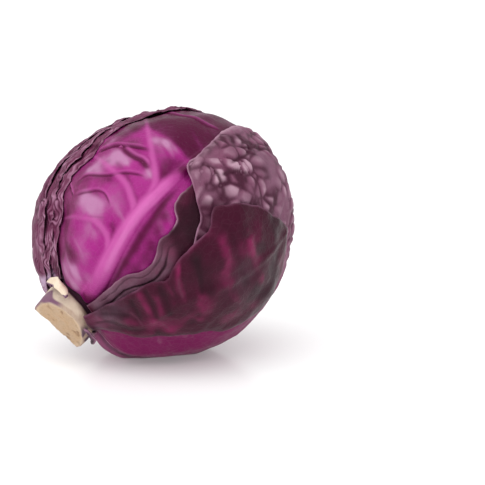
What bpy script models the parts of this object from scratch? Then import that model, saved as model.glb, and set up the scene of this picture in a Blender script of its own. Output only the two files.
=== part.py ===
"""A head of red cabbage, lying on its side on a small flat spot.

The pieces are the stem, whose core runs up inside the head, the heart of tightly packed inner leaves, nine wrapper
leaves laid over it one after another, and two stubs of leaves that were cut away at the stem.

Places on the head are given as (polar, azimuth) in degrees: polar is 0 where the stem leaves the head and 180 at the
crown, and azimuth is 0 at the front and grows towards the upper left.
"""

import math

import bpy
import numpy as np

MM = 0.001

# The head
EQUATOR_RADIUS = 80 * MM
CROWN_RISE = 8 * MM
CROWN_SHARPNESS = 4.5
STEM_DIMPLE = 6 * MM
STEM_DIMPLE_SPREAD = math.radians(16)
CENTRE_HEIGHT = 77 * MM  # less than the radius, so the underside is pressed flat
REST_RADIUS = 24 * MM  # the ribs fade away inside this distance from the middle of the flat
REST_FADE = 12 * MM
STEM_HEADING = math.radians(212.4)  # in plan, from +X towards +Y
STEM_DIP = math.radians(32.7)  # below the horizon
FRONT_RISE = math.radians(10)  # the front meridian faces -Y and this much up
SWELLINGS = (  # polar, azimuth, height in mm, spread in degrees
    (40, 88, 1.8, 28),
    (95, 90, -4.2, 36),
    (150, -30, 1.5, 30),
    (70, -30, 2.0, 25),
    (27, -88, 4.2, 15),
)
HEART_STEPS = 5  # edges of its own leaves that stand up around the heart
HEART_STEP = 1.2 * MM
HEART_START = 15.2  # degrees from the stem's axis where the heart's socket opens

# The leaves
BLADE = 0.9 * MM
GAP = 1.0 * MM  # air between two leaves
BASE_POLAR = 15.5  # where a blade starts, beside the stem
COVER_MARGIN = 7 * MM  # how far past its edge a leaf still lifts the next one
COVER_FADE = 13 * MM
CURL_WIDTH = 5 * MM
PUFF_WIDTH = 14 * MM
SPREAD_OVER_RIB = 1.8  # the next leaf bridges a rib this many times wider than the rib

# The stem
NECK_RADIUS = 16.2 * MM
FOOT_RADIUS = 19.2 * MM
CORE_TIP_RADIUS = 5 * MM
CORE_TIP_HEIGHT = 14 * MM
NECK_START = 52 * MM
FLARE_START = 75 * MM
FLARE_END = 80 * MM
STUMP_LEAN = 0.16  # how far the stump leans away from azimuth 90, against its height over the flare's start
CUT_HEIGHT = 90.0 * MM
CUT_TILT_FRONT = 0.22  # the cut falls this much towards the front, so that its face shows
CUT_TILT_UP = -0.13  # and rises this much towards azimuth 90
SECOND_CUT_REACH = 8 * MM  # from the axis to where the second cut starts, away from the front
SECOND_CUT_SLOPE = 0.7
SOCKET_CLEARANCE = 0.4 * MM
STEM_SIDES = 36


def smoothstep(x):
    x = np.clip(x, 0, 1)
    return x * x * (3 - 2 * x)


def unit(vectors):
    return vectors / np.linalg.norm(vectors, axis=-1, keepdims=True)


def head_axes():
    """Unit vectors from the head's centre: to the stem, to the front meridian, and to azimuth 90."""
    flat = math.cos(STEM_DIP)
    stem = np.array([flat * math.cos(STEM_HEADING), flat * math.sin(STEM_HEADING), -math.sin(STEM_DIP)])
    front = np.array([0, -math.cos(FRONT_RISE), math.sin(FRONT_RISE)])
    front = unit(front - (front @ stem) * stem)
    return stem, front, np.cross(stem, front)


STEM, FRONT, UPPER_LEFT = head_axes()
CENTRE = np.array([0, 0, CENTRE_HEIGHT])


def direction(polar, azimuth):
    """Unit vectors from polar angles and azimuths in radians."""
    polar = np.asarray(polar)[..., None]
    azimuth = np.asarray(azimuth)[..., None]
    across = np.cos(azimuth) * FRONT + np.sin(azimuth) * UPPER_LEFT
    return np.cos(polar) * STEM + np.sin(polar) * across


def angles(towards):
    """Polar angle and azimuth of unit vectors, in radians."""
    polar = np.arccos(np.clip(towards @ STEM, -1, 1))
    return polar, np.arctan2(towards @ UPPER_LEFT, towards @ FRONT)


def away_from(towards, polar, azimuth):
    """Angle in radians from each unit vector to a place given in degrees."""
    place = direction(math.radians(polar), math.radians(azimuth))
    return np.arccos(np.clip(towards @ place, -1, 1))


def head_radius(towards):
    """Distance from the centre to the head's own outline, before the underside is pressed flat."""
    polar, _ = angles(towards)
    radius = EQUATOR_RADIUS + CROWN_RISE * np.clip(-np.cos(polar), 0, 1) ** CROWN_SHARPNESS
    radius = radius - STEM_DIMPLE * np.exp(-((polar / STEM_DIMPLE_SPREAD) ** 2))
    for place_polar, place_azimuth, height, spread in SWELLINGS:
        share = away_from(towards, place_polar, place_azimuth) / math.radians(spread)
        radius = radius + height * MM * np.exp(-(share**2))
    return radius


def curve(points, count):
    """A smooth curve on the unit sphere through (polar, azimuth) points in degrees, evenly sampled."""
    knots = direction(*np.radians(np.array(points, float)).T)
    ends = np.vstack([2 * knots[0] - knots[1], knots, 2 * knots[-1] - knots[-2]])
    share = np.linspace(0, len(knots) - 1, 12 * len(knots))
    span = np.minimum(share.astype(int), len(knots) - 2)
    x = (share - span)[:, None]
    a, b, c, d = (ends[span + k] for k in range(4))
    cubic = 3 * (b - c) + d - a
    path = b + 0.5 * x * (c - a + x * (2 * a - 5 * b + 4 * c - d + x * cubic))
    path = unit(path)
    run = np.concatenate([[0], np.cumsum(np.linalg.norm(np.diff(path, axis=0), axis=1))])
    even = np.linspace(0, run[-1], count)
    return unit(np.stack([np.interp(even, run, path[:, k]) for k in range(3)], axis=1))


def nearest(towards, path):
    """Distance in metres from each direction to a path on the head, and how far along the path that is."""
    start = path[:-1]
    step = np.diff(path, axis=0)
    square = (step**2).sum(1)
    along = towards @ step.T - (start * step).sum(1)
    share = np.clip(along / square, 0, 1)
    gap = 1 + (start**2).sum(1) - 2 * towards @ start.T
    gap = gap - 2 * share * along + share**2 * square
    best = gap.argmin(1)
    rows = np.arange(len(towards))
    distance = np.sqrt(np.maximum(gap[rows, best], 0)) * EQUATOR_RADIUS
    return distance, (best + share[rows, best]) / len(step)


def slerp(a, b, share):
    """Points on the great circles from a to b."""
    angle = np.arccos(np.clip((a * b).sum(-1, keepdims=True), -1, 1))
    angle = np.maximum(angle, 1e-6)
    share = share[..., None]
    return (np.sin((1 - share) * angle) * a + np.sin(share * angle) * b) / np.sin(angle)


class Leaf:
    """One blade: its outline and rib as curves on the head, and the relief that it has of its own."""

    SAMPLES = 60

    def __init__(self, name, low, rib, high, **shape):
        self.name = name
        self.low = curve(low, self.SAMPLES)
        self.rib = curve(rib, self.SAMPLES)
        self.high = curve(high, self.SAMPLES)
        self.rows = shape.get("rows", 18)
        self.columns = shape.get("columns", 14)
        self.blade = shape.get("blade", BLADE)
        self.cut_start = shape.get("cut_start", 2.0)
        self.wave = shape.get("wave", 0.025)
        self.waves = shape.get("waves", 4)
        self.curl = shape.get("curl", 0.0)
        self.rib_height = shape.get("rib_height", 1.4 * MM)
        self.rib_width = shape.get("rib_width", 5 * MM)
        self.veins = [curve(vein, 16) for vein in shape.get("veins", ())]
        self.vein_height = shape.get("vein_height", 0.7 * MM)
        self.puff = shape.get("puff", 0.6 * MM)
        self.rise = shape.get("rise", 0.0)
        self.grooves = [curve(groove, 16) for groove in shape.get("grooves", ())]
        self.groove_depth = shape.get("groove_depth", 0.0)
        self.groove_width = shape.get("groove_width", 5 * MM)
        self.bumps = shape.get("bumps", ())
        self.tip_bulge = shape.get("tip_bulge", 0.06)
        self.outline = self.trace_outline()
        self.middle = unit(self.outline.mean(0))

    def place(self, along, across):
        """Directions at shares along the rib, 0 to 1, and across the blade, -1 at the low edge to 1."""
        index = along * (self.SAMPLES - 1)
        lower = np.minimum(index.astype(int), self.SAMPLES - 2)
        part = (index - lower)[..., None]
        paths = (self.rib, self.low, self.high)
        rib, low, high = (unit(path[lower] * (1 - part) + path[lower + 1] * part) for path in paths)
        edge = np.where(across[..., None] < 0, low, high)
        reach = np.abs(across) * (1 + self.edge_wave(along, np.where(across < 0, 1.0, 4.0)))
        great = slerp(rib, edge, reach)
        rib_polar, rib_azimuth = angles(rib)
        edge_polar, edge_azimuth = angles(edge)
        turn = (edge_azimuth - rib_azimuth + math.pi) % (2 * math.pi) - math.pi
        small = direction(rib_polar + reach * (edge_polar - rib_polar), rib_azimuth + reach * turn)
        by_ring = (1 - smoothstep(along / 0.4))[..., None]
        tip = unit(self.rib[-1] - self.rib[-3])
        bulge = self.tip_bulge * (1 - across**2) * along**6
        return unit(by_ring * small + (1 - by_ring) * great + bulge[..., None] * tip)

    def edge_wave(self, along, side):
        """How much further out the edge is at a wave, as a share of the blade's width."""
        turn = 2 * math.pi * self.waves * along
        wave = np.sin(turn + side) + 0.6 * np.sin(1.7 * turn + 2 * side)
        return self.wave * wave * smoothstep(along / 0.15)

    def trace_outline(self):
        run = np.linspace(0, 1, self.SAMPLES)
        one = np.ones(self.SAMPLES)
        low_side = self.place(run, -one)
        tip = self.place(one, 2 * run - 1)
        high_side = self.place(run[::-1], one)
        base = self.place(0 * one, 1 - 2 * run)
        return np.vstack([low_side, tip[1:], high_side[1:], base[1:]])

    def flatten(self, towards):
        """Directions as points of a plane around the blade's middle, at their true distance from it."""
        first = unit(np.cross(self.middle, STEM))
        second = np.cross(self.middle, first)
        angle = np.arccos(np.clip(towards @ self.middle, -1, 1))
        x = towards @ first
        y = towards @ second
        scale = angle / np.maximum(np.hypot(x, y), 1e-9)
        return x * scale, y * scale

    def inside(self, towards):
        x, y = self.flatten(towards)
        corner_x, corner_y = self.flatten(self.outline[:-1])
        next_x = np.roll(corner_x, -1)
        next_y = np.roll(corner_y, -1)
        over = (corner_y > y[:, None]) != (next_y > y[:, None])
        rise = np.where(next_y == corner_y, 1e-12, next_y - corner_y)
        cross = corner_x + (y[:, None] - corner_y) * (next_x - corner_x) / rise
        return (over & (x[:, None] < cross)).sum(1) % 2 == 1

    def edge_distance(self, towards):
        """Distance to the outline in metres, positive on the blade."""
        distance, _ = nearest(towards, self.outline)
        return np.where(self.inside(towards), distance, -distance)

    def ribs(self, towards, spread=1.0):
        """Height of the rib and veins over the blade, and the distance to the closest of them."""
        distance, along = nearest(towards, self.rib)
        width = spread * self.rib_width * (1 - 0.65 * along)
        height = self.rib_height * (1 - 0.7 * along) * np.exp(-((distance / width) ** 2))
        for vein in self.veins:
            vein_distance, vein_along = nearest(towards, vein)
            width = spread * 3 * MM * (1 - 0.4 * vein_along)
            ridge = self.vein_height * (1 - 0.6 * vein_along) * np.exp(-((vein_distance / width) ** 2))
            height = np.maximum(height, ridge)
            distance = np.minimum(distance, vein_distance)
        from_rest = np.arccos(np.clip(-towards[:, 2], -1, 1)) * CENTRE_HEIGHT
        return height * smoothstep((from_rest - REST_RADIUS) / REST_FADE), distance

    def lift(self, towards, edge, distance):
        """How far the whole blade stands off what it lies on, before its grooves."""
        inward = np.maximum(edge, 0)
        total = self.rise + self.puff * smoothstep(distance / PUFF_WIDTH) * smoothstep(inward / PUFF_WIDTH)
        total = total + self.curl * np.exp(-((inward / CURL_WIDTH) ** 2))
        for polar, azimuth, height, radius in self.bumps:
            share = away_from(towards, polar, azimuth) * EQUATOR_RADIUS / (radius * MM)
            total = total + height * MM * np.exp(-(share**2))
        return total

    def cover(self, edge):
        """1 on the blade and close around it, falling to 0 where the next leaf is clear of it."""
        return 1 - smoothstep((-edge - COVER_MARGIN) / COVER_FADE)

    def radii(self, towards, under):
        """Inner and outer radius of the blade over a surface of the given radius."""
        height, distance = self.ribs(towards)
        inner = under + GAP + self.lift(towards, self.edge_distance(towards), distance)
        for groove in self.grooves:
            away, along = nearest(towards, groove)
            depth = self.groove_depth * smoothstep(4 * along) * smoothstep(4 - 4 * along)
            inner = inner - depth * np.exp(-((away / self.groove_width) ** 2))
        return inner, inner + self.thickness(towards) + height

    def thickness(self, towards):
        """Thickness of the blade, which thins to its tip where a knife has cut it at a slant."""
        _, along = nearest(towards, self.rib)
        thinned = np.clip((along - self.cut_start) / (1 - self.cut_start), 0, 1)
        return self.blade - (self.blade - BLADE) * thinned * (self.cut_start < 1)


def front_leaf():
    """The broad leaf with the pale rib that branches to the left."""
    return Leaf(
        "leaf_front",
        low=[(BASE_POLAR, -34), (38, -44), (65, -48), (95, -46), (120, -40), (141, -34), (154, -14)],
        rib=[(BASE_POLAR, -7), (28, -3), (44, 4), (56, 8), (68, 11), (80, 12), (96, 13), (118, 15), (158, 18)],
        high=[(BASE_POLAR, 46), (28, 68), (50, 78), (80, 78), (105, 74), (125, 68), (142, 62), (155, 44)],
        veins=[
            [(60, 9), (69, 14), (72, 19), (75, 26), (76, 38), (78, 53), (79, 66)],
            [(72, 11), (83, 16), (87, 20), (90, 24), (94, 30), (100, 39), (107, 50), (112, 60)],
            [(42, 4), (51, 12), (54, 19), (54, 28), (50, 40), (46, 54)],
        ],
        rib_height=3.2 * MM,
        rib_width=5.2 * MM,
        vein_height=1.2 * MM,
        puff=1.2 * MM,
        rise=1.6 * MM,
        grooves=[[(17, -13), (28, -9), (37, -5), (47, -2), (57, 1), (66, 4), (74, 6), (82, 8), (92, 9)]],
        groove_depth=2.3 * MM,
        rows=28,
        columns=24,
        wave=0.0,
    )


def back_leaf():
    return Leaf(
        "leaf_back",
        low=[(BASE_POLAR, 138), (40, 122), (70, 118), (100, 120), (125, 122), (146, 124), (163, 142)],
        rib=[(BASE_POLAR, 170), (60, 172), (100, 170), (140, 168), (171, 160)],
        high=[(BASE_POLAR, 202), (40, 216), (70, 221), (100, 219), (125, 215), (146, 210), (163, 190)],
        veins=[
            [(40, 171), (54, 160), (64, 146), (70, 130)],
            [(52, 172), (64, 184), (74, 198), (80, 212)],
            [(72, 171), (86, 160), (98, 146), (104, 132)],
            [(84, 171), (96, 184), (106, 198)],
        ],
        rib_height=2.6 * MM,
    )


def under_leaf():
    """The leaf that the head rests on."""
    return Leaf(
        "leaf_under",
        low=[(BASE_POLAR, -142), (40, -157), (70, -161), (100, -159), (122, -154), (144, -146), (157, -124)],
        rib=[(BASE_POLAR, -104), (30, -106), (57, -112), (100, -106), (162, -102)],
        high=[(BASE_POLAR, -62), (38, -48), (66, -46), (95, -50), (120, -56), (144, -62), (157, -82)],
        veins=[
            [(80, -109), (94, -96), (104, -82), (110, -70)],
            [(88, -108), (100, -120), (110, -136), (114, -148)],
            [(34, -107), (46, -90), (56, -72), (62, -56)],
        ],
        puff=0.5 * MM,
    )


def left_inner_leaf():
    return Leaf(
        "leaf_left_inner",
        low=[
            (BASE_POLAR, 62), (24, 55), (33, 53), (43, 55), (52, 58), (60, 60), (70, 59), (78, 57), (86, 58),
            (95, 61), (105, 62), (113, 58), (124, 55), (138, 59), (148, 74),
        ],
        rib=[(BASE_POLAR, 102), (40, 100), (70, 100), (100, 98), (151, 96)],
        high=[(BASE_POLAR, 124), (35, 137), (65, 143), (95, 142), (120, 138), (138, 132), (149, 116)],
        curl=0.6 * MM,
        waves=5,
        wave=0.02,
    )


def right_inner_leaf():
    """The leaf whose waved edge crosses beside the front leaf's rib."""
    return Leaf(
        "leaf_right_inner",
        low=[(BASE_POLAR, -54), (35, -63), (65, -67), (95, -63), (120, -52), (134, -38)],
        rib=[(BASE_POLAR, -30), (50, -37), (80, -35), (110, -28), (138, -26)],
        high=[
            (BASE_POLAR, -14), (24, -11), (35, -8), (46, -7), (54, -11), (62, -9), (68, -4), (74, -4), (79, -2),
            (82, 3), (87, 5), (97, 6), (110, 3), (124, -4), (134, -16),
        ],
        curl=1.0 * MM,
        rows=22,
        waves=6,
        wave=0.006,
    )


def right_top_leaf():
    """The blistered leaf with a torn tongue, which reaches over the crown."""
    return Leaf(
        "leaf_right_top",
        low=[(BASE_POLAR, -72), (40, -84), (70, -87), (100, -86), (126, -84), (148, -84), (163, -72)],
        rib=[(BASE_POLAR, -52), (50, -52), (90, -46), (125, -38), (150, -32), (171, -22)],
        high=[
            (BASE_POLAR, -33), (40, -27), (60, -23), (75, -17), (83, -11), (88, -8), (92, 0), (96, 8), (99, 13),
            (109, 15), (121, 18), (131, 21), (142, 25), (155, 26), (166, 16),
        ],
        bumps=[(112, 3, 1.6, 9), (124, 8, 1.2, 8), (106, -12, 1.8, 10), (120, -12, 1.4, 9), (132, -6, 1.3, 10)],
        curl=1.2 * MM,
        rows=24,
        columns=18,
        waves=6,
        wave=0.006,
    )


def left_middle_leaf():
    return Leaf(
        "leaf_left_middle",
        low=[
            (BASE_POLAR, 96), (25, 72), (31, 62), (38, 59), (46, 62), (54, 66), (64, 66), (74, 64), (84, 65),
            (95, 68), (106, 69), (120, 71), (132, 82),
        ],
        rib=[(BASE_POLAR, 116), (45, 116), (80, 114), (110, 112), (141, 111)],
        high=[(BASE_POLAR, 142), (40, 158), (70, 164), (100, 160), (124, 150), (137, 134)],
        curl=0.6 * MM,
        waves=6,
    )


def right_outer_leaf():
    """The dark, lumpy leaf at the lower right."""
    return Leaf(
        "leaf_right_outer",
        low=[(BASE_POLAR, -54), (24, -51), (34, -51), (46, -54), (60, -58), (78, -67), (95, -74), (112, -68)],
        rib=[(BASE_POLAR, -38), (40, -39), (62, -33), (90, -40), (124, -48)],
        high=[
            (BASE_POLAR, -23), (25, -20), (33, -18), (47, -17), (55, -18), (61, -20), (66, -17), (74, -15), (86, -13),
            (95, -9), (104, -12), (113, -20), (120, -31),
        ],
        bumps=[(40, -45, 1.5, 9), (52, -34, 1.6, 8), (72, -42, 1.4, 10), (84, -26, 1.5, 9), (34, -28, 1.2, 7)],
        rib_height=1.8 * MM,
        curl=1.0 * MM,
        rows=20,
        waves=5,
    )


def left_outer_leaf():
    return Leaf(
        "leaf_left_outer",
        low=[
            (BASE_POLAR, 110), (25, 82), (32, 70), (39, 66), (47, 68), (54, 74), (64, 80), (88, 80), (104, 80),
            (118, 87), (128, 98),
        ],
        rib=[(BASE_POLAR, 132), (50, 133), (85, 131), (133, 128)],
        high=[(BASE_POLAR, 158), (38, 176), (68, 184), (98, 178), (120, 164), (131, 148)],
        veins=[
            [(36, 133), (50, 120), (62, 104), (68, 92)],
            [(48, 133), (60, 146), (72, 160), (78, 172)],
            [(70, 132), (84, 120), (94, 106), (98, 92)],
            [(80, 131), (92, 144), (102, 158)],
        ],
        rib_height=2.4 * MM,
        curl=0.8 * MM,
        waves=7,
    )


def upper_stub():
    """Base of a leaf that was cut away at a slant, beside the upper side of the stem."""
    return Leaf(
        "stub_upper",
        low=[(16.2, 16), (17.2, 19), (18.0, 25)],
        rib=[(16.2, 42), (18.0, 44), (20.0, 46)],
        high=[(16.2, 68), (17.2, 66), (18.4, 61)],
        blade=6.0 * MM,
        cut_start=0.2,
        rib_height=0.0,
        puff=0.0,
        wave=0.0,
        rows=6,
        columns=12,
        tip_bulge=0.0,
    )


def lower_stub():
    """A torn scrap of leaf base beside the lower side of the stem."""
    return Leaf(
        "stub_lower",
        low=[(BASE_POLAR, -92), (16.6, -90), (17.4, -86)],
        rib=[(BASE_POLAR, -66), (17.2, -65), (18.8, -64)],
        high=[(BASE_POLAR, -38), (16.6, -40), (17.4, -44)],
        blade=1.8 * MM,
        rib_height=0.0,
        puff=0.0,
        wave=0.0,
        rows=3,
        columns=10,
        tip_bulge=0.0,
    )


LEAVES = [  # from the innermost to the outermost
    front_leaf(),
    back_leaf(),
    under_leaf(),
    left_inner_leaf(),
    right_inner_leaf(),
    right_top_leaf(),
    left_middle_leaf(),
    right_outer_leaf(),
    left_outer_leaf(),
]
STUBS = [upper_stub(), lower_stub()]


def heart_steps(towards):
    """Depth of the low steps that the heart's own packed leaves make around it."""
    polar, azimuth = angles(towards)
    turn = (azimuth + 0.6 * polar) / (2 * math.pi) * HEART_STEPS
    return HEART_STEP * (turn - np.floor(turn)) * np.sin(polar)


def stack(towards):
    """Radius of the heart, and of the head after each leaf is laid on it, up to the outermost."""
    rooms = []
    packing = 0
    for leaf in LEAVES:
        edge = leaf.edge_distance(towards)
        cover = leaf.cover(edge)
        height, distance = leaf.ribs(towards, SPREAD_OVER_RIB)
        rooms.append(cover * (GAP + leaf.lift(towards, edge, distance) + leaf.blade + height))
        packing = packing + cover * (GAP + leaf.rise + leaf.blade)
    radii = [head_radius(towards) - packing]
    for room in rooms:
        radii.append(radii[-1] + room)
    return radii


def pressed(towards, radius, total):
    """Points at these radii, drawn in where the head lies on the surface below it."""
    limit = CENTRE_HEIGHT / np.maximum(-towards[:, 2], 1e-6)
    press = np.minimum(1, limit / total)
    return CENTRE + towards * (radius * press)[:, None]


def grid_triangles(rows, columns, offset, flip):
    """Triangles over a grid of (rows + 1) by (columns + 1) vertices."""
    row, column = np.meshgrid(np.arange(rows), np.arange(columns), indexing="ij")
    a = offset + (row * (columns + 1) + column).ravel()
    b = a + 1
    c = a + columns + 1
    d = c + 1
    triangles = np.concatenate([np.stack([a, c, d], 1), np.stack([a, d, b], 1)])
    return triangles[:, ::-1] if flip else triangles


def rim_triangles(rows, columns):
    """Triangles that close the gap between an outer grid and the inner grid numbered after it."""
    width = columns + 1
    low = np.arange(rows + 1) * width
    tip = rows * width + np.arange(width)
    loop = np.concatenate([low, tip[1:], (low + columns)[::-1][1:], np.arange(width)[::-1][1:]])
    here = loop[:-1]
    after = loop[1:]
    below = (rows + 1) * width
    first = np.stack([here, here + below, after + below], 1)
    second = np.stack([here, after + below, after], 1)
    return np.concatenate([first, second])


def add_solid(name, vertices, faces, material):
    mesh = bpy.data.meshes.new(name)
    mesh.from_pydata(np.asarray(vertices).tolist(), [], [list(map(int, face)) for face in faces])
    mesh.materials.append(material)
    mesh.validate()
    piece = bpy.data.objects.new(name, mesh)
    bpy.context.scene.collection.objects.link(piece)
    return piece


def blade_columns(columns):
    """Places across a blade, closer together beside the rib."""
    even = np.linspace(-1, 1, columns + 1)
    return np.sign(even) * np.abs(even) ** 1.15


def build_blade(leaf, level, material):
    """A leaf as one solid, lying on the given level of the stack."""
    along, across = np.meshgrid(np.linspace(0, 1, leaf.rows + 1), blade_columns(leaf.columns), indexing="ij")
    towards = leaf.place(along.ravel(), across.ravel())
    radii = stack(towards)
    inner, outer = leaf.radii(towards, radii[level])
    total = np.maximum(radii[-1], 1e-6)
    vertices = np.vstack([pressed(towards, outer, total), pressed(towards, inner, total)])
    count = (leaf.rows + 1) * (leaf.columns + 1)
    faces = np.concatenate([
        grid_triangles(leaf.rows, leaf.columns, 0, False),
        grid_triangles(leaf.rows, leaf.columns, count, True),
        rim_triangles(leaf.rows, leaf.columns),
    ])
    return add_solid(leaf.name, vertices, faces, material)


def core_radius(height):
    """Radius of the stem's core at a height along its axis from the head's centre."""
    share = (height - CORE_TIP_HEIGHT) / (NECK_START - CORE_TIP_HEIGHT)
    return CORE_TIP_RADIUS + (NECK_RADIUS - CORE_TIP_RADIUS) * smoothstep(share) ** 0.6


def on_axis(height, radius, azimuth):
    """Points at a height along the stem's axis and a radius from it; the stump leans off the axis."""
    height = np.asarray(height, float).reshape(-1, 1)
    across = np.cos(azimuth)[:, None] * FRONT + np.sin(azimuth)[:, None] * UPPER_LEFT
    lean = STUMP_LEAN * np.maximum(height - FLARE_START, 0)
    return CENTRE + height * STEM + np.asarray(radius).reshape(-1, 1) * across - lean * UPPER_LEFT


def cut_height(radius, azimuth):
    """Height of the cut face: one flat cut, and a second one that takes off the far side."""
    front = radius * np.cos(azimuth)
    up = radius * np.sin(azimuth)
    first = CUT_HEIGHT - CUT_TILT_FRONT * front - CUT_TILT_UP * up
    return first - SECOND_CUT_SLOPE * np.maximum(-front - SECOND_CUT_REACH, 0)


def ring_faces(rings, sides):
    """Quads between rings of vertices, with a fan at each end around the last two vertices."""
    faces = []
    for ring in range(rings - 1):
        for side in range(sides):
            after = (side + 1) % sides
            here = ring * sides
            faces.append((here + side, here + after, here + sides + after, here + sides + side))
    first = rings * sides
    last = (rings - 1) * sides
    for side in range(sides):
        after = (side + 1) % sides
        faces.append((first, after, side))
        faces.append((first + 1, last + side, last + after))
    return faces


def stem_knobs(height, azimuth):
    """Unevenness of the stump where leaf bases were cut off around it."""
    share = smoothstep((height - FLARE_START) / (FLARE_END - FLARE_START))
    return 0.6 * MM * share * (np.cos(3 * azimuth + 0.6) + 0.6 * np.cos(5 * azimuth + 2.1))


def build_stem():
    azimuth = np.linspace(0, 2 * math.pi, STEM_SIDES, endpoint=False)
    rings = []
    for height in np.linspace(CORE_TIP_HEIGHT, NECK_START, 7):
        rings.append(on_axis(height, np.full(STEM_SIDES, core_radius(height)), azimuth))
    for height in np.linspace(NECK_START, FLARE_START, 4)[1:]:
        rings.append(on_axis(height, np.full(STEM_SIDES, NECK_RADIUS), azimuth))
    for share in (0.25, 0.5, 0.75, 1.0):
        height = FLARE_START + share * (FLARE_END - FLARE_START)
        flare = NECK_RADIUS + (FOOT_RADIUS - NECK_RADIUS) * math.sin(share * math.pi / 2)
        rings.append(on_axis(height, flare + stem_knobs(height, azimuth), azimuth))
    rim = FOOT_RADIUS - 0.6 * MM + stem_knobs(FLARE_END, azimuth)
    for share in (1.0, 0.75, 0.5, 0.25):
        rings.append(on_axis(cut_height(share * rim, azimuth), share * rim, azimuth))
    tip = on_axis(CORE_TIP_HEIGHT - 2 * MM, 0, azimuth[:1])
    face_middle = on_axis(CUT_HEIGHT, 0, azimuth[:1])
    vertices = np.vstack(rings + [tip, face_middle])
    return add_solid("stem", vertices, ring_faces(len(rings), STEM_SIDES), stem_material())


def build_heart():
    """The heart as one body, turned in at the stem to make the socket for the core."""
    sides = 44
    azimuth = np.linspace(0, 2 * math.pi, sides, endpoint=False)
    rings = []
    for height in np.linspace(CORE_TIP_HEIGHT, NECK_START, 6):
        rings.append(on_axis(height, np.full(sides, core_radius(height) + SOCKET_CLEARANCE), azimuth))
    for polar in np.linspace(math.radians(HEART_START), math.pi, 20, endpoint=False):
        towards = direction(np.full(sides, polar), azimuth)
        radii = stack(towards)
        rings.append(pressed(towards, radii[0] - heart_steps(towards), radii[-1]))
    bottom = on_axis(CORE_TIP_HEIGHT - 2 * MM - SOCKET_CLEARANCE, 0, azimuth[:1])
    towards = -STEM[None, :]
    radii = stack(towards)
    crown = pressed(towards, radii[0], radii[-1])
    faces = [face[::-1] for face in ring_faces(len(rings), sides)]
    return add_solid("heart", np.vstack(rings + [bottom, crown]), faces, heart_material())


def plain_material(name, colour, roughness):
    material = bpy.data.materials.new(name)
    material.use_nodes = True
    shader = material.node_tree.nodes["Principled BSDF"]
    shader.inputs["Base Color"].default_value = (*colour, 1)
    shader.inputs["Roughness"].default_value = roughness
    return material


def leaf_material(name, colour):
    return plain_material(name, colour, 0.42)


def stem_material():
    return plain_material("stem_flesh", (0.60, 0.42, 0.26), 0.7)


def heart_material():
    return plain_material("heart_leaves", (0.20, 0.03, 0.17), 0.45)


LEAF_COLOURS = {
    "leaf_front": (0.42, 0.05, 0.28),
    "leaf_back": (0.13, 0.03, 0.08),
    "leaf_under": (0.16, 0.01, 0.09),
    "leaf_left_inner": (0.15, 0.05, 0.10),
    "leaf_right_inner": (0.12, 0.04, 0.08),
    "leaf_right_top": (0.22, 0.11, 0.17),
    "leaf_left_middle": (0.14, 0.05, 0.10),
    "leaf_right_outer": (0.09, 0.015, 0.05),
    "leaf_left_outer": (0.14, 0.06, 0.11),
    "stub_upper": (0.70, 0.56, 0.42),
    "stub_lower": (0.06, 0.02, 0.05),
}


def clear_scene():
    for item in list(bpy.data.objects):
        bpy.data.objects.remove(item, do_unlink=True)


def main():
    clear_scene()
    build_stem()
    build_heart()
    for level, leaf in enumerate(LEAVES):
        build_blade(leaf, level, leaf_material(leaf.name + "_skin", LEAF_COLOURS[leaf.name]))
    for stub in STUBS:
        build_blade(stub, len(LEAVES), leaf_material(stub.name + "_skin", LEAF_COLOURS[stub.name]))


main()
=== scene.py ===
"""A head of red cabbage, dressed for the camera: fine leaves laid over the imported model, its stump, floor and light.

Places on the head are given as (polar, azimuth) in degrees: polar is 0 where the stem leaves the head and 180 at the
crown, and azimuth is 0 at the front and grows towards the upper left.
"""

import math

import bpy
import numpy as np
from bpy.props import FloatProperty, FloatVectorProperty, PointerProperty
from bpy.types import Operator, Panel, PropertyGroup
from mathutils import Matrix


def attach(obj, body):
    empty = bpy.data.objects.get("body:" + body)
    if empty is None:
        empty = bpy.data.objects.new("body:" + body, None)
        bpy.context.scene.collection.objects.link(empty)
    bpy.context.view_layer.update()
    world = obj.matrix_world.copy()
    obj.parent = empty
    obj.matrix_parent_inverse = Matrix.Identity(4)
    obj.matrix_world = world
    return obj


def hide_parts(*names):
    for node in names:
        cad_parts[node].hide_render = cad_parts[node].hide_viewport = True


bl_info = {
    "name": "Red cabbage",
    "version": (1, 0, 0),
    "blender": (4, 5, 0),
    "location": "View3D > Sidebar > Cabbage",
    "description": "Builds the visible leaves, stump and studio of a head of red cabbage",
    "category": "Add Mesh",
}

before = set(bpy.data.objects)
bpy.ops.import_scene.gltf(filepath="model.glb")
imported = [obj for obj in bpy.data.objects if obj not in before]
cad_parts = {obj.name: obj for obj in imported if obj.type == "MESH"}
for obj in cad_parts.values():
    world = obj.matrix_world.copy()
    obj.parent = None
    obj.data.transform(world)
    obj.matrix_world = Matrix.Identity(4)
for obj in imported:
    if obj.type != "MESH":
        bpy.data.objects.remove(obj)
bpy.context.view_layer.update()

MM = 0.001

# The head, with the same values as its solids
EQUATOR_RADIUS = 80 * MM
CROWN_RISE = 8 * MM
CROWN_SHARPNESS = 4.5
STEM_DIMPLE = 6 * MM
STEM_DIMPLE_SPREAD = math.radians(16)
CENTRE_HEIGHT = 77 * MM
REST_RADIUS = 24 * MM
REST_FADE = 12 * MM
STEM_HEADING = math.radians(212.4)
STEM_DIP = math.radians(32.7)
FRONT_RISE = math.radians(10)
SWELLINGS = (  # polar, azimuth, height in mm, spread in degrees
    (40, 88, 1.8, 28),
    (95, 90, -4.2, 36),
    (150, -30, 1.5, 30),
    (70, -30, 2.0, 25),
    (27, -88, 4.2, 15),
)
HEART_STEPS = 5
HEART_STEP = 1.2 * MM
HEART_START = 15.2

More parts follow.
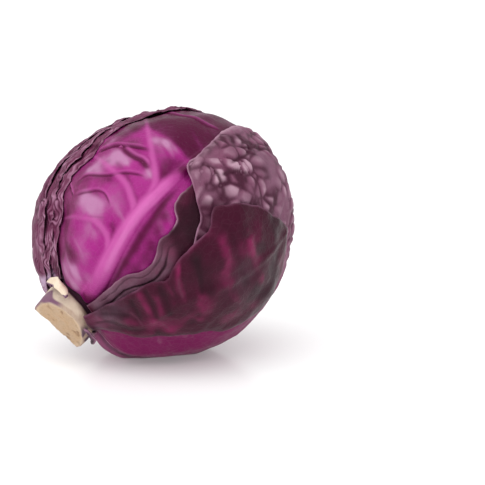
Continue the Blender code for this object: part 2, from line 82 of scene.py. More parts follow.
# The leaves
BLADE = 0.9 * MM
GAP = 1.0 * MM
BASE_POLAR = 15.5
COARSER = 5  # the hidden inner face of a blade has this many times fewer rows and columns
TUCK = 0.7  # how much of the gap under a blade closes at its very edge
TUCK_WIDTH = 3.5 * MM
COVER_MARGIN = 7 * MM
COVER_FADE = 13 * MM
CURL_WIDTH = 5 * MM
PUFF_WIDTH = 14 * MM
SPREAD_OVER_RIB = 1.8
FOOT_SPREAD = 9  # degrees over which a foot that is drawn closer to the stem runs out
EDGE_TAPER = 0.3  # share of its thickness that a blade loses at its very edge
EDGE_TAPER_WIDTH = 1.4 * MM
FLOOR_CLEARANCE = 0.02 * MM
LOOSE_ROWS = 46  # the loose grid on which the stack under a blade is worked out
LOOSE_COLUMNS = 41

# The stem
NECK_RADIUS = 16.2 * MM
FOOT_RADIUS = 19.2 * MM
CORE_TIP_RADIUS = 5 * MM
CORE_TIP_HEIGHT = 14 * MM
NECK_START = 52 * MM
FLARE_START = 75 * MM
FLARE_END = 80 * MM
STUMP_LEAN = 0.16  # how far the stump leans away from azimuth 90, against its height over the flare's start
CUT_HEIGHT = 90.0 * MM
CUT_TILT_FRONT = 0.22  # the cut falls this much towards the front, so that its face shows
CUT_TILT_UP = -0.13  # and rises this much towards azimuth 90
SECOND_CUT_REACH = 8 * MM
SECOND_CUT_SLOPE = 0.7
SOCKET_CLEARANCE = 0.4 * MM
STEM_SIDES = 160
HEART_SIDES = 150
HEART_RINGS = 60
CUT_RIM_RADIUS = 17.5  # mm, where the cut face has a pale ring
STUMP_SHOWN = (72, 80)  # mm, heights over which the stem's relief sets in; below them leaves hide it

# The camera, which stands where the photograph was taken from
CAMERA_PLACE = (0.05088, -0.98586, 0.24466)
CAMERA_TILT = math.radians(80)
CAMERA_LENS = 115.98
CAMERA_SENSOR = 36.0


def tint(red, green, blue):
    """A colour for a shader from the 0 to 255 values that a screen shows."""
    shares = [value / 255 for value in (red, green, blue)]
    return tuple(s / 12.92 if s <= 0.04045 else ((s + 0.055) / 1.055) ** 2.4 for s in shares)


def smoothstep(x):
    x = np.clip(x, 0, 1)
    return x * x * (3 - 2 * x)


def unit(vectors):
    return vectors / np.linalg.norm(vectors, axis=-1, keepdims=True)


def head_axes():
    """Unit vectors from the head's centre: to the stem, to the front meridian, and to azimuth 90."""
    flat = math.cos(STEM_DIP)
    stem = np.array([flat * math.cos(STEM_HEADING), flat * math.sin(STEM_HEADING), -math.sin(STEM_DIP)])
    front = np.array([0, -math.cos(FRONT_RISE), math.sin(FRONT_RISE)])
    front = unit(front - (front @ stem) * stem)
    return stem, front, np.cross(stem, front)


STEM, FRONT, UPPER_LEFT = head_axes()
CENTRE = np.array([0, 0, CENTRE_HEIGHT])


def direction(polar, azimuth):
    """Unit vectors from polar angles and azimuths in radians."""
    polar = np.asarray(polar)[..., None]
    azimuth = np.asarray(azimuth)[..., None]
    across = np.cos(azimuth) * FRONT + np.sin(azimuth) * UPPER_LEFT
    return np.cos(polar) * STEM + np.sin(polar) * across


def angles(towards):
    """Polar angle and azimuth of unit vectors, in radians."""
    polar = np.arccos(np.clip(towards @ STEM, -1, 1))
    return polar, np.arctan2(towards @ UPPER_LEFT, towards @ FRONT)


def away_from(towards, polar, azimuth):
    """Angle in radians from each unit vector to a place given in degrees."""
    place = direction(math.radians(polar), math.radians(azimuth))
    return np.arccos(np.clip(towards @ place, -1, 1))


def head_radius(towards):
    """Distance from the centre to the head's own outline, before the underside is pressed flat."""
    polar, _ = angles(towards)
    radius = EQUATOR_RADIUS + CROWN_RISE * np.clip(-np.cos(polar), 0, 1) ** CROWN_SHARPNESS
    radius = radius - STEM_DIMPLE * np.exp(-((polar / STEM_DIMPLE_SPREAD) ** 2))
    for place_polar, place_azimuth, height, spread in SWELLINGS:
        share = away_from(towards, place_polar, place_azimuth) / math.radians(spread)
        radius = radius + height * MM * np.exp(-(share**2))
    return radius


def curve(points, count):
    """A smooth curve on the unit sphere through (polar, azimuth) points in degrees, evenly sampled."""
    knots = direction(*np.radians(np.array(points, float)).T)
    ends = np.vstack([2 * knots[0] - knots[1], knots, 2 * knots[-1] - knots[-2]])
    share = np.linspace(0, len(knots) - 1, 12 * len(knots))
    span = np.minimum(share.astype(int), len(knots) - 2)
    x = (share - span)[:, None]
    a, b, c, d = (ends[span + k] for k in range(4))
    cubic = 3 * (b - c) + d - a
    path = b + 0.5 * x * (c - a + x * (2 * a - 5 * b + 4 * c - d + x * cubic))
    path = unit(path)
    run = np.concatenate([[0], np.cumsum(np.linalg.norm(np.diff(path, axis=0), axis=1))])
    even = np.linspace(0, run[-1], count)
    return unit(np.stack([np.interp(even, run, path[:, k]) for k in range(3)], axis=1))


def in_batches(work, towards, *rest):
    """Runs work on a few thousand directions at a time, to keep its tables small, and joins what it gives."""
    parts = [work(towards[at:at + 4000], *rest) for at in range(0, len(towards), 4000)]
    if isinstance(parts[0], tuple):
        return tuple(np.concatenate(column) for column in zip(*parts))
    return np.concatenate(parts)


def closest_on(towards, path):
    start = path[:-1]
    step = np.diff(path, axis=0)
    square = (step**2).sum(1)
    along = towards @ step.T - (start * step).sum(1)
    share = np.clip(along / square, 0, 1)
    gap = 1 + (start**2).sum(1) - 2 * towards @ start.T
    gap = gap - 2 * share * along + share**2 * square
    best = gap.argmin(1)
    rows = np.arange(len(towards))
    distance = np.sqrt(np.maximum(gap[rows, best], 0)) * EQUATOR_RADIUS
    side = np.sign((towards * np.cross(start, step)[best]).sum(1))
    return distance, (best + share[rows, best]) / len(step), side


def nearest(towards, path):
    """Distance in metres from each direction to a path on the head, and how far along the path that is."""
    distance, along, _ = in_batches(closest_on, towards, path)
    return distance, along


def slerp(a, b, share):
    """Points on the great circles from a to b."""
    angle = np.arccos(np.clip((a * b).sum(-1, keepdims=True), -1, 1))
    angle = np.maximum(angle, 1e-6)
    share = share[..., None]
    return (np.sin((1 - share) * angle) * a + np.sin(share * angle) * b) / np.sin(angle)


class Leaf:
    """One blade: its outline and rib as curves on the head, and the relief that it has of its own.

    Lengths are in metres. foot is how many degrees closer to the stem its base is drawn than its solid's, and wave
    and fray are shares of the blade's width. A bump is polar, azimuth, height in mm and radius in mm.
    """

    SAMPLES = 90

    def __init__(self, name, low, rib, high, **shape):
        self.name = name
        self.low = curve(low, self.SAMPLES)
        self.rib = curve(rib, self.SAMPLES)
        self.high = curve(high, self.SAMPLES)
        self.blade = shape.get("blade", BLADE)
        self.cut_start = shape.get("cut_start", 2.0)
        self.wave = shape.get("wave", 0.025)
        self.waves = shape.get("waves", 4)
        self.curl = shape.get("curl", 0.0)
        self.rib_height = shape.get("rib_height", 1.4 * MM)
        self.rib_width = shape.get("rib_width", 5 * MM)
        self.veins = [curve(vein, 24) for vein in shape.get("veins", ())]
        self.vein_height = shape.get("vein_height", 0.7 * MM)
        self.puff = shape.get("puff", 0.6 * MM)
        self.rise = shape.get("rise", 0.0)
        self.grooves = [curve(groove, 24) for groove in shape.get("grooves", ())]
        self.groove_depth = shape.get("groove_depth", 0.0)
        self.groove_width = shape.get("groove_width", 5 * MM)
        self.bumps = shape.get("bumps", ())
        self.tip_bulge = shape.get("tip_bulge", 0.06)
        self.fray = shape.get("fray", 0.0)
        self.foot = math.radians(shape.get("foot", 0.0))
        self.outline = self.trace_outline()
        self.middle = unit(self.outline.mean(0))

    def place(self, along, across):
        """Directions at shares along the rib, 0 to 1, and across the blade, -1 at the low edge to 1."""
        index = along * (self.SAMPLES - 1)
        lower = np.minimum(index.astype(int), self.SAMPLES - 2)
        part = (index - lower)[..., None]
        paths = (self.rib, self.low, self.high)
        rib, low, high = (unit(path[lower] * (1 - part) + path[lower + 1] * part) for path in paths)
        edge = np.where(across[..., None] < 0, low, high)
        reach = np.abs(across) * (1 + self.edge_wave(along, np.where(across < 0, 1.0, 4.0)))
        great = slerp(rib, edge, reach)
        rib_polar, rib_azimuth = angles(rib)
        edge_polar, edge_azimuth = angles(edge)
        turn = (edge_azimuth - rib_azimuth + math.pi) % (2 * math.pi) - math.pi
        small = direction(rib_polar + reach * (edge_polar - rib_polar), rib_azimuth + reach * turn)
        by_ring = (1 - smoothstep(along / 0.4))[..., None]
        tip = unit(self.rib[-1] - self.rib[-3])
        bulge = self.tip_bulge * (1 - across**2) * along**6
        return unit(by_ring * small + (1 - by_ring) * great + bulge[..., None] * tip)

    def edge_wave(self, along, side):
        """How much further out the edge is at a wave or a fray, as a share of the blade's width."""
        turn = 2 * math.pi * self.waves * along
        wave = self.wave * (np.sin(turn + side) + 0.6 * np.sin(1.7 * turn + 2 * side))
        quick = 2 * math.pi * along
        fray = np.sin(17 * quick + 3 * side) + 0.7 * np.sin(29 * quick + side) + 0.5 * np.sin(41 * quick)
        return (wave + self.fray * fray) * smoothstep(along / 0.15)

    def trace_outline(self):
        run = np.linspace(0, 1, self.SAMPLES)
        one = np.ones(self.SAMPLES)
        low_side = self.place(run, -one)
        tip = self.place(one, 2 * run - 1)
        high_side = self.place(run[::-1], one)
        base = self.place(0 * one, 1 - 2 * run)
        return np.vstack([low_side, tip[1:], high_side[1:], base[1:]])

    def flatten(self, towards):
        """Directions as points of a plane around the blade's middle, at their true distance from it."""
        first = unit(np.cross(self.middle, STEM))
        second = np.cross(self.middle, first)
        angle = np.arccos(np.clip(towards @ self.middle, -1, 1))
        x = towards @ first
        y = towards @ second
        scale = angle / np.maximum(np.hypot(x, y), 1e-9)
        return x * scale, y * scale

    def inside(self, towards):
        x, y = self.flatten(towards)
        corner_x, corner_y = self.flatten(self.outline[:-1])
        next_x = np.roll(corner_x, -1)
        next_y = np.roll(corner_y, -1)
        over = (corner_y > y[:, None]) != (next_y > y[:, None])
        rise = np.where(next_y == corner_y, 1e-12, next_y - corner_y)
        cross = corner_x + (y[:, None] - corner_y) * (next_x - corner_x) / rise
        return (over & (x[:, None] < cross)).sum(1) % 2 == 1

    def edge_distance(self, towards):
        """Distance to the outline in metres, positive on the blade."""
        distance, _ = nearest(towards, self.outline)
        return np.where(in_batches(self.inside, towards), distance, -distance)

    def ribs(self, towards, spread=1.0):
        """Height of the rib and veins over the blade, and the distance to the closest of them."""
        distance, along = nearest(towards, self.rib)
        width = spread * self.rib_width * (1 - 0.65 * along)
        height = self.rib_height * (1 - 0.7 * along) * np.exp(-((distance / width) ** 2))
        for vein in self.veins:
            vein_distance, vein_along = nearest(towards, vein)
            width = spread * 3 * MM * (1 - 0.4 * vein_along)
            ridge = self.vein_height * (1 - 0.6 * vein_along) * np.exp(-((vein_distance / width) ** 2))
            height = np.maximum(height, ridge)
            distance = np.minimum(distance, vein_distance)
        return height * off_the_rest(towards), distance

    def lift(self, towards, edge, distance):
        """How far the whole blade stands off what it lies on, before its grooves."""
        inward = np.maximum(edge, 0)
        total = self.rise + self.puff * smoothstep(distance / PUFF_WIDTH) * smoothstep(inward / PUFF_WIDTH)
        total = total + self.curl * np.exp(-((inward / CURL_WIDTH) ** 2))
        for polar, azimuth, height, radius in self.bumps:
            share = away_from(towards, polar, azimuth) * EQUATOR_RADIUS / (radius * MM)
            total = total + height * MM * np.exp(-(share**2))
        return total

    def cover(self, edge):
        """1 on the blade and close around it, falling to 0 where the next leaf is clear of it."""
        return 1 - smoothstep((-edge - COVER_MARGIN) / COVER_FADE)

    def thickness(self, towards):
        """Thickness of the blade, which thins to its tip where a knife has cut it at a slant."""
        _, along = nearest(towards, self.rib)
        thinned = np.clip((along - self.cut_start) / (1 - self.cut_start), 0, 1)
        return self.blade - (self.blade - BLADE) * thinned * (self.cut_start < 1)


def off_the_rest(towards):
    """0 over the flat that the head rests on, rising to 1 around it."""
    from_rest = np.arccos(np.clip(-towards[:, 2], -1, 1)) * CENTRE_HEIGHT
    return smoothstep((from_rest - REST_RADIUS) / REST_FADE)


FRONT_LEAF = Leaf(
    "leaf_front",
    low=[(BASE_POLAR, -34), (38, -44), (65, -48), (95, -46), (120, -40), (141, -34), (154, -14)],
    rib=[(BASE_POLAR, -7), (28, -3), (44, 4), (56, 8), (68, 11), (80, 12), (96, 13), (118, 15), (158, 18)],
    high=[(BASE_POLAR, 46), (28, 68), (50, 78), (80, 78), (105, 74), (125, 68), (142, 62), (155, 44)],
    veins=[
        [(60, 9), (69, 14), (72, 19), (75, 26), (76, 38), (78, 53), (79, 66)],
        [(72, 11), (83, 16), (87, 20), (90, 24), (94, 30), (100, 39), (107, 50), (112, 60)],
        [(42, 4), (51, 12), (54, 19), (54, 28), (50, 40), (46, 54)],
    ],
    rib_height=3.2 * MM,
    rib_width=5.2 * MM,
    vein_height=1.2 * MM,
    puff=1.2 * MM,
    rise=1.6 * MM,
    grooves=[[(17, -13), (28, -9), (37, -5), (47, -2), (57, 1), (66, 4), (74, 6), (82, 8), (92, 9)]],
    groove_depth=2.3 * MM,
    wave=0.0,
    foot=1.7,
)

BACK_LEAF = Leaf(
    "leaf_back",
    low=[(BASE_POLAR, 138), (40, 122), (70, 118), (100, 120), (125, 122), (146, 124), (163, 142)],
    rib=[(BASE_POLAR, 170), (60, 172), (100, 170), (140, 168), (171, 160)],
    high=[(BASE_POLAR, 202), (40, 216), (70, 221), (100, 219), (125, 215), (146, 210), (163, 190)],
    veins=[
        [(40, 171), (54, 160), (64, 146), (70, 130)],
        [(52, 172), (64, 184), (74, 198), (80, 212)],
        [(72, 171), (86, 160), (98, 146), (104, 132)],
        [(84, 171), (96, 184), (106, 198)],
    ],
    rib_height=2.6 * MM,
    fray=0.003,
)

UNDER_LEAF = Leaf(
    "leaf_under",
    low=[(BASE_POLAR, -142), (40, -157), (70, -161), (100, -159), (122, -154), (144, -146), (157, -124)],
    rib=[(BASE_POLAR, -104), (30, -106), (57, -112), (100, -106), (162, -102)],
    high=[(BASE_POLAR, -62), (38, -48), (66, -46), (95, -50), (120, -56), (144, -62), (157, -82)],
    veins=[
        [(80, -109), (94, -96), (104, -82), (110, -70)],
        [(88, -108), (100, -120), (110, -136), (114, -148)],
        [(34, -107), (46, -90), (56, -72), (62, -56)],
    ],
    puff=0.5 * MM,
    fray=0.003,
)

LEFT_INNER_LEAF = Leaf(
    "leaf_left_inner",
    low=[
        (BASE_POLAR, 62), (24, 55), (33, 53), (43, 55), (52, 58), (60, 60), (70, 59), (78, 57), (86, 58),
        (95, 61), (105, 62), (113, 58), (124, 55), (138, 59), (148, 74),
    ],
    rib=[(BASE_POLAR, 102), (40, 100), (70, 100), (100, 98), (151, 96)],
    high=[(BASE_POLAR, 124), (35, 137), (65, 143), (95, 142), (120, 138), (138, 132), (149, 116)],
    curl=0.6 * MM,
    waves=5,
    wave=0.02,
    fray=0.014,
)

RIGHT_INNER_LEAF = Leaf(
    "leaf_right_inner",
    low=[(BASE_POLAR, -54), (35, -63), (65, -67), (95, -63), (120, -52), (134, -38)],
    rib=[(BASE_POLAR, -30), (50, -37), (80, -35), (110, -28), (138, -26)],
    high=[
        (BASE_POLAR, -14), (24, -11), (35, -8), (46, -7), (54, -11), (62, -9), (68, -4), (74, -4), (79, -2),
        (82, 3), (87, 5), (97, 6), (110, 3), (124, -4), (134, -16),
    ],
    curl=1.0 * MM,
    waves=6,
    wave=0.006,
    fray=0.004,
)

RIGHT_TOP_LEAF = Leaf(
    "leaf_right_top",
    low=[(BASE_POLAR, -72), (40, -84), (70, -87), (100, -86), (126, -84), (148, -84), (163, -72)],
    rib=[(BASE_POLAR, -52), (50, -52), (90, -46), (125, -38), (150, -32), (171, -22)],
    high=[
        (BASE_POLAR, -33), (40, -27), (60, -23), (75, -17), (83, -11), (88, -8), (92, 0), (96, 8), (99, 13),
        (109, 15), (121, 18), (131, 21), (142, 25), (155, 26), (166, 16),
    ],
    bumps=[(112, 3, 1.6, 9), (124, 8, 1.2, 8), (106, -12, 1.8, 10), (120, -12, 1.4, 9), (132, -6, 1.3, 10)],
    curl=1.2 * MM,
    waves=6,
    wave=0.006,
    fray=0.003,
)

LEFT_MIDDLE_LEAF = Leaf(
    "leaf_left_middle",
    low=[
        (BASE_POLAR, 96), (25, 72), (31, 62), (38, 59), (46, 62), (54, 66), (64, 66), (74, 64), (84, 65),
        (95, 68), (106, 69), (120, 71), (132, 82),
    ],
    rib=[(BASE_POLAR, 116), (45, 116), (80, 114), (110, 112), (141, 111)],
    high=[(BASE_POLAR, 142), (40, 158), (70, 164), (100, 160), (124, 150), (137, 134)],
    curl=0.6 * MM,
    waves=6,
    fray=0.018,
)

RIGHT_OUTER_LEAF = Leaf(
    "leaf_right_outer",
    low=[(BASE_POLAR, -54), (24, -51), (34, -51), (46, -54), (60, -58), (78, -67), (95, -74), (112, -68)],
    rib=[(BASE_POLAR, -38), (40, -39), (62, -33), (90, -40), (124, -48)],
    high=[
        (BASE_POLAR, -23), (25, -20), (33, -18), (47, -17), (55, -18), (61, -20), (66, -17), (74, -15), (86, -13),
        (95, -9), (104, -12), (113, -20), (120, -31),
    ],
    bumps=[(40, -45, 1.5, 9), (52, -34, 1.6, 8), (72, -42, 1.4, 10), (84, -26, 1.5, 9), (34, -28, 1.2, 7)],
    rib_height=1.8 * MM,
    curl=1.0 * MM,
    waves=5,
    fray=0.003,
)

LEFT_OUTER_LEAF = Leaf(
    "leaf_left_outer",
    low=[
        (BASE_POLAR, 110), (25, 82), (32, 70), (39, 66), (47, 68), (54, 74), (64, 80), (88, 80), (104, 80),
        (118, 87), (128, 98),
    ],
    rib=[(BASE_POLAR, 132), (50, 133), (85, 131), (133, 128)],
    high=[(BASE_POLAR, 158), (38, 176), (68, 184), (98, 178), (120, 164), (131, 148)],
    veins=[
        [(36, 133), (50, 120), (62, 104), (68, 92)],
        [(48, 133), (60, 146), (72, 160), (78, 172)],
        [(70, 132), (84, 120), (94, 106), (98, 92)],
        [(80, 131), (92, 144), (102, 158)],
    ],
    rib_height=2.4 * MM,
    curl=0.8 * MM,
    waves=7,
    fray=0.018,
)

UPPER_STUB = Leaf(
    "stub_upper",
    low=[(16.2, 16), (17.2, 19), (18.0, 25)],
    rib=[(16.2, 42), (18.0, 44), (20.0, 46)],
    high=[(16.2, 68), (17.2, 66), (18.4, 61)],
    blade=6.0 * MM,
    cut_start=0.2,
    rib_height=0.0,
    puff=0.0,
    wave=0.0,
    tip_bulge=0.0,
)

LOWER_STUB = Leaf(
    "stub_lower",
    low=[(BASE_POLAR, -92), (16.6, -90), (17.4, -86)],
    rib=[(BASE_POLAR, -66), (17.2, -65), (18.8, -64)],
    high=[(BASE_POLAR, -38), (16.6, -40), (17.4, -44)],
    blade=1.8 * MM,
    rib_height=0.0,
    puff=0.0,
    wave=0.0,
    tip_bulge=0.0,
)

LEAVES = [  # from the innermost to the outermost
    FRONT_LEAF,
    BACK_LEAF,
    UNDER_LEAF,
    LEFT_INNER_LEAF,
    RIGHT_INNER_LEAF,
    RIGHT_TOP_LEAF,
    LEFT_MIDDLE_LEAF,
    RIGHT_OUTER_LEAF,
    LEFT_OUTER_LEAF,
]


def heart_steps(towards):
    """Depth of the low steps that the heart's own packed leaves make around it."""
    polar, azimuth = angles(towards)
    turn = (azimuth + 0.6 * polar) / (2 * math.pi) * HEART_STEPS
    return HEART_STEP * (turn - np.floor(turn)) * np.sin(polar)


def stack(towards):
    """Radius of the heart, and of the head after each leaf is laid on it, up to the outermost."""
    rooms = []
    packing = 0
    for leaf in LEAVES:
        edge = leaf.edge_distance(towards)
        cover = leaf.cover(edge)
        height, distance = leaf.ribs(towards, SPREAD_OVER_RIB)
        rooms.append(cover * (GAP + leaf.lift(towards, edge, distance) + leaf.blade + height))
        packing = packing + cover * (GAP + leaf.rise + leaf.blade)
    radii = [head_radius(towards) - packing]
    for room in rooms:
        radii.append(radii[-1] + room)
    return radii


def pressed(towards, radius, total):
    """Points at these radii, drawn in where the head lies on the surface below it."""
    limit = CENTRE_HEIGHT / np.maximum(-towards[:, 2], 1e-6)
    press = np.minimum(1, limit / total)
    return CENTRE + towards * (radius * press)[:, None]


def scatter(cell, seed):
    """A repeatable number from 0 to 1 for each whole-numbered cell of space."""
    cell = cell.astype(np.int64)
    mixed = cell[..., 0] * 73856093 ^ cell[..., 1] * 19349663 ^ cell[..., 2] * 83492791 ^ seed * 2654435761
    mixed = (mixed ^ (mixed >> 13)) * 1274126177 & 0xFFFFFFFF
    mixed = (mixed ^ (mixed >> 15)) * 668265263 & 0xFFFFFFFF
    return (mixed & 0xFFFFFF) / 0xFFFFFF


def grain(point, size, seed):
    """Soft unevenness from -1 to 1, with lumps about as large as the given size."""
    place = point / size
    cell = np.floor(place)
    x, y, z = smoothstep(place - cell).T
    total = 0
    for i in (0, 1):
        for j in (0, 1):
            for k in (0, 1):
                weight = (x if i else 1 - x) * (y if j else 1 - y) * (z if k else 1 - z)
                total = total + weight * scatter(cell + (i, j, k), seed)
    return 2 * total - 1


def blisters(point, size, seed):
    """Distance to the crack between two cells, as a share of their size: 0 in the crack."""
    place = point / size
    cell = np.floor(place)
    first = np.full(len(point), 9.0)
    second = np.full(len(point), 9.0)
    for i in (-1, 0, 1):
        for j in (-1, 0, 1):
            for k in (-1, 0, 1):
                near = cell + (i, j, k)
                middle = np.stack([scatter(near, seed + s) for s in range(3)], axis=1)
                away = np.linalg.norm(near + middle - place, axis=1)
                second = np.minimum(second, np.maximum(first, away))
                first = np.minimum(first, away)
    return second - first


def spots(towards, *places):
    """1 at each place and less around it; a place is polar, azimuth, radius in mm and strength."""
    left = 1
    for polar, azimuth, radius, strength in places:
        share = away_from(towards, polar, azimuth) * EQUATOR_RADIUS / (radius * MM)
        left = left * (1 - strength * np.exp(-(share**2)))
    return 1 - left


def line(towards, width, *points):
    """1 along a line and less beside it, fading out at both ends; the width is in mm."""
    away, along = nearest(towards, curve(points, 8 * len(points)))
    fade = smoothstep(along / 0.15) * smoothstep((1 - along) / 0.15)
    return fade * np.exp(-((away / (width * MM)) ** 2))


def lines(towards, *rows):
    """The strongest of several lines at each place; a row is a strength, a width in mm and the line's points."""
    return np.maximum.reduce([strength * line(towards, width, *points) for strength, width, *points in rows])


def fold(towards, width, depth, step, *points):
    """A crease: its relief, with the blade on the line's left standing higher, and where its gap and lip are."""
    path = curve(points, 8 * len(points))
    away, along, side = in_batches(closest_on, towards, path)
    fade = smoothstep(along / 0.2) * smoothstep((1 - along) / 0.2)
    groove = np.exp(-((away / (width * MM)) ** 2))
    ledge = smoothstep(0.5 + 0.5 * side * away / (width * MM)) * np.exp(-away / (9 * MM))
    lip = np.exp(-(((side * away / MM - 1.6 * width) / (0.8 * width)) ** 2))
    return fade * (step * (ledge + 0.35 * lip) - depth * groove) * MM, fade * groove, fade * lip


def between(value, low, high):
    """0 below the first value, 1 above the second, and a smooth change between them."""
    return smoothstep((value - low) / (high - low))


def window(value, rise, top, fall, end):
    """1 between the two middle values, 0 outside the outer two, and smooth changes between."""
    return between(value, rise, top) * (1 - between(value, fall, end))


class Patch:
    """Places on a leaf's fine grid, with what its relief and colours need to know of each."""

    def __init__(self, leaf, rows, columns, crowding):
        self.leaf = leaf
        self.rows = rows
        self.columns = columns
        even = np.linspace(-1, 1, columns + 1)
        self.column_places = np.sign(even) * np.abs(even) ** crowding
        self.row_places = np.linspace(0, 1, rows + 1)
        along, across = np.meshgrid(self.row_places, self.column_places, indexing="ij")
        self.along = along.ravel()
        self.across = across.ravel()
        self.towards = leaf.place(self.along, self.across)
        self.point = self.towards * EQUATOR_RADIUS
        self.edge = np.maximum(leaf.edge_distance(self.towards), 0)
        self.edge[(np.abs(self.across) > 0.9999) | (self.along > 0.9999)] = 0
        self.ridge, self.rib_distance = leaf.ribs(self.towards)
        polar, azimuth = angles(self.towards)
        self.polar = np.degrees(polar)
        self.azimuth = np.degrees(azimuth)

    def lumps(self, *layers):
        """Unevenness in metres; a layer is its height in mm, the size of its lumps in mm and a seed."""
        return sum(height * MM * grain(self.point, size * MM, seed) for height, size, seed in layers)

    def noise(self, size, seed):
        return grain(self.point, size * MM, seed)


def smooth_weights(places, count):
    """Weights that carry count evenly spaced values, from 0 to 1, smoothly over to other places."""
    share = places * (count - 1)
    lower = np.clip(share.astype(int), 0, count - 2)
    x = share - lower
    taps = (
        -0.5 * x + x**2 - 0.5 * x**3,
        1 - 2.5 * x**2 + 1.5 * x**3,
        0.5 * x + 2 * x**2 - 1.5 * x**3,
        -0.5 * x**2 + 0.5 * x**3,
    )
    weights = np.zeros((len(places), count))
    rows = np.arange(len(places))
    for offset, tap in zip((-1, 0, 1, 2), taps):
        np.add.at(weights, (rows, np.clip(lower + offset, 0, count - 1)), tap)
    return weights


def stack_on_patch(patch, level):
    """Radius of what the leaf lies on and of the whole head, worked out on a loose grid and smoothed."""
    places = (np.linspace(0, 1, LOOSE_ROWS), np.linspace(-1, 1, LOOSE_COLUMNS))
    along, across = np.meshgrid(*places, indexing="ij")
    radii = stack(patch.leaf.place(along.ravel(), across.ravel()))
    down = smooth_weights(patch.row_places, LOOSE_ROWS)
    over = smooth_weights((patch.column_places + 1) / 2, LOOSE_COLUMNS)
    loose = (radii[k].reshape(LOOSE_ROWS, LOOSE_COLUMNS) for k in (level, -1))
    under, total = ((down @ radius @ over.T).ravel() for radius in loose)
    return under, total


def grid_quads(rows, columns, offset, flip):
    """Quads over a grid of (rows + 1) by (columns + 1) vertices."""
    row, column = np.meshgrid(np.arange(rows), np.arange(columns), indexing="ij")
    a = offset + (row * (columns + 1) + column).ravel()
    quads = np.stack([a, a + columns + 1, a + columns + 2, a + 1], 1)
    return quads[:, ::-1] if flip else quads


def border(rows, columns):
    """Numbers of the vertices around a grid, once round."""
    width = columns + 1
    low = np.arange(rows + 1) * width
    tip = rows * width + np.arange(width)
    return np.concatenate([low, tip[1:], (low + columns)[::-1][1:], np.arange(width)[::-1][1:-1]])


def rim_faces(rows, columns, offset):
    """Faces that close the rim between a fine outer grid and the coarser inner grid numbered after it."""
    fine = border(rows, columns)
    coarse = border(rows // COARSER, columns // COARSER) + offset
    faces = []
    for k in range(len(coarse)):
        ends = [coarse[(k + 1) % len(coarse)], coarse[k]]
        run = [fine[(k * COARSER + i) % len(fine)] for i in range(COARSER, -1, -1)]
        faces.append(run + ends[::-1])
    return faces


def add_piece(name, node, vertices, quads, marks, material, others=()):
    """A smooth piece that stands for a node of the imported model, with its marks as named numbers on its points."""
    mesh = bpy.data.meshes.new(name)
    faces = quads.tolist() + [list(map(int, face)) for face in others]
    mesh.from_pydata(vertices.tolist(), [], faces)
    mesh.polygons.foreach_set("use_smooth", [True] * len(mesh.polygons))
    for mark, values in marks.items():
        layer = mesh.attributes.new(mark, "FLOAT", "POINT")
        layer.data.foreach_set("value", np.clip(values, 0, 1).astype(np.float32))
    mesh.materials.append(material)
    mesh.update()
    piece = bpy.data.objects.new(name, mesh)
    bpy.context.scene.collection.objects.link(piece)
    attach(piece, "root")
    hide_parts(node)
    return piece


def dress_leaf(leaf, level, relief, material, rows=160, columns=130, crowding=0.75):
    """A fine blade laid where the leaf's solid lies, with its relief and its marks."""
    patch = Patch(leaf, rows, columns, crowding)
    under, total = stack_on_patch(patch, level)
    height, marks = relief(patch)
    for groove in leaf.grooves:
        away, along = nearest(patch.towards, groove)
        depth = leaf.groove_depth * smoothstep(4 * along) * smoothstep(4 - 4 * along)
        under = under - depth * np.exp(-((away / leaf.groove_width) ** 2))
    lift = GAP + leaf.lift(patch.towards, patch.edge, patch.rib_distance)
    tuck = TUCK * GAP * between(patch.polar, 16, 20) + leaf.curl * (1 - 0.4 * between(patch.polar, 26, 38))
    lift = lift - tuck * np.exp(-((patch.edge / TUCK_WIDTH) ** 2))
    inner = under + lift + height * off_the_rest(patch.towards)
    thickness = leaf.thickness(patch.towards)
    taper = EDGE_TAPER * thickness * (1 - smoothstep(patch.edge / EDGE_TAPER_WIDTH))
    outer = inner + thickness + patch.ridge - taper
    inner = inner + taper
    kept = np.arange(len(patch.along)).reshape(rows + 1, columns + 1)[::COARSER, ::COARSER].ravel()
    polar, azimuth = angles(patch.towards)
    polar = polar - leaf.foot * (1 - smoothstep((patch.polar - BASE_POLAR) / FOOT_SPREAD))
    towards = direction(polar, azimuth)
    lower = pressed(towards[kept], inner[kept], total[kept])
    vertices = np.vstack([pressed(towards, outer, total), lower])
    vertices[:, 2] = np.maximum(vertices[:, 2], FLOOR_CLEARANCE)
    count = len(patch.along)
    quads = np.concatenate([
        grid_quads(rows, columns, 0, False),
        grid_quads(rows // COARSER, columns // COARSER, count, True),
    ])
    marks = {mark: np.concatenate([values, values[kept]]) for mark, values in marks.items()}
    name = leaf.name + "_fine"
    rim = rim_faces(rows, columns, count)
    return add_piece(name, leaf.name, vertices, quads, marks, material, rim)


def leaf_marks(patch, shade=0, light=0, bloom=0, vein=0, edge_width=0.9, other=0):
    """The marks that every leaf's skin reads, with its pale rim line, which comes and goes."""
    zero = np.zeros(len(patch.along))
    broken = 0.25 + 0.75 * between(patch.noise(11, 7) + 0.4 * patch.noise(4, 8), -0.45, 0.5)
    return {
        "other": zero + other,
        # Painted shade, and the leaf's own dark areas
        "shade": zero + shade,
        # Painted highlights, and the leaf's own pale areas
        "light": zero + light,
        # Waxy coat, and a painted purple sheen on the front leaf and a painted glossy highlight on the lumpy leaf
        "bloom": zero + bloom,
        # Veins, and on two leaves painted glints and the painted highlight along the creases' lips
        "vein": zero + vein,
        # The pale rim line, partly the edge's own colour and partly a painted highlight
        "rim": broken * np.exp(-((patch.edge / (edge_width * MM)) ** 2)) * off_the_rest(patch.towards),
    }


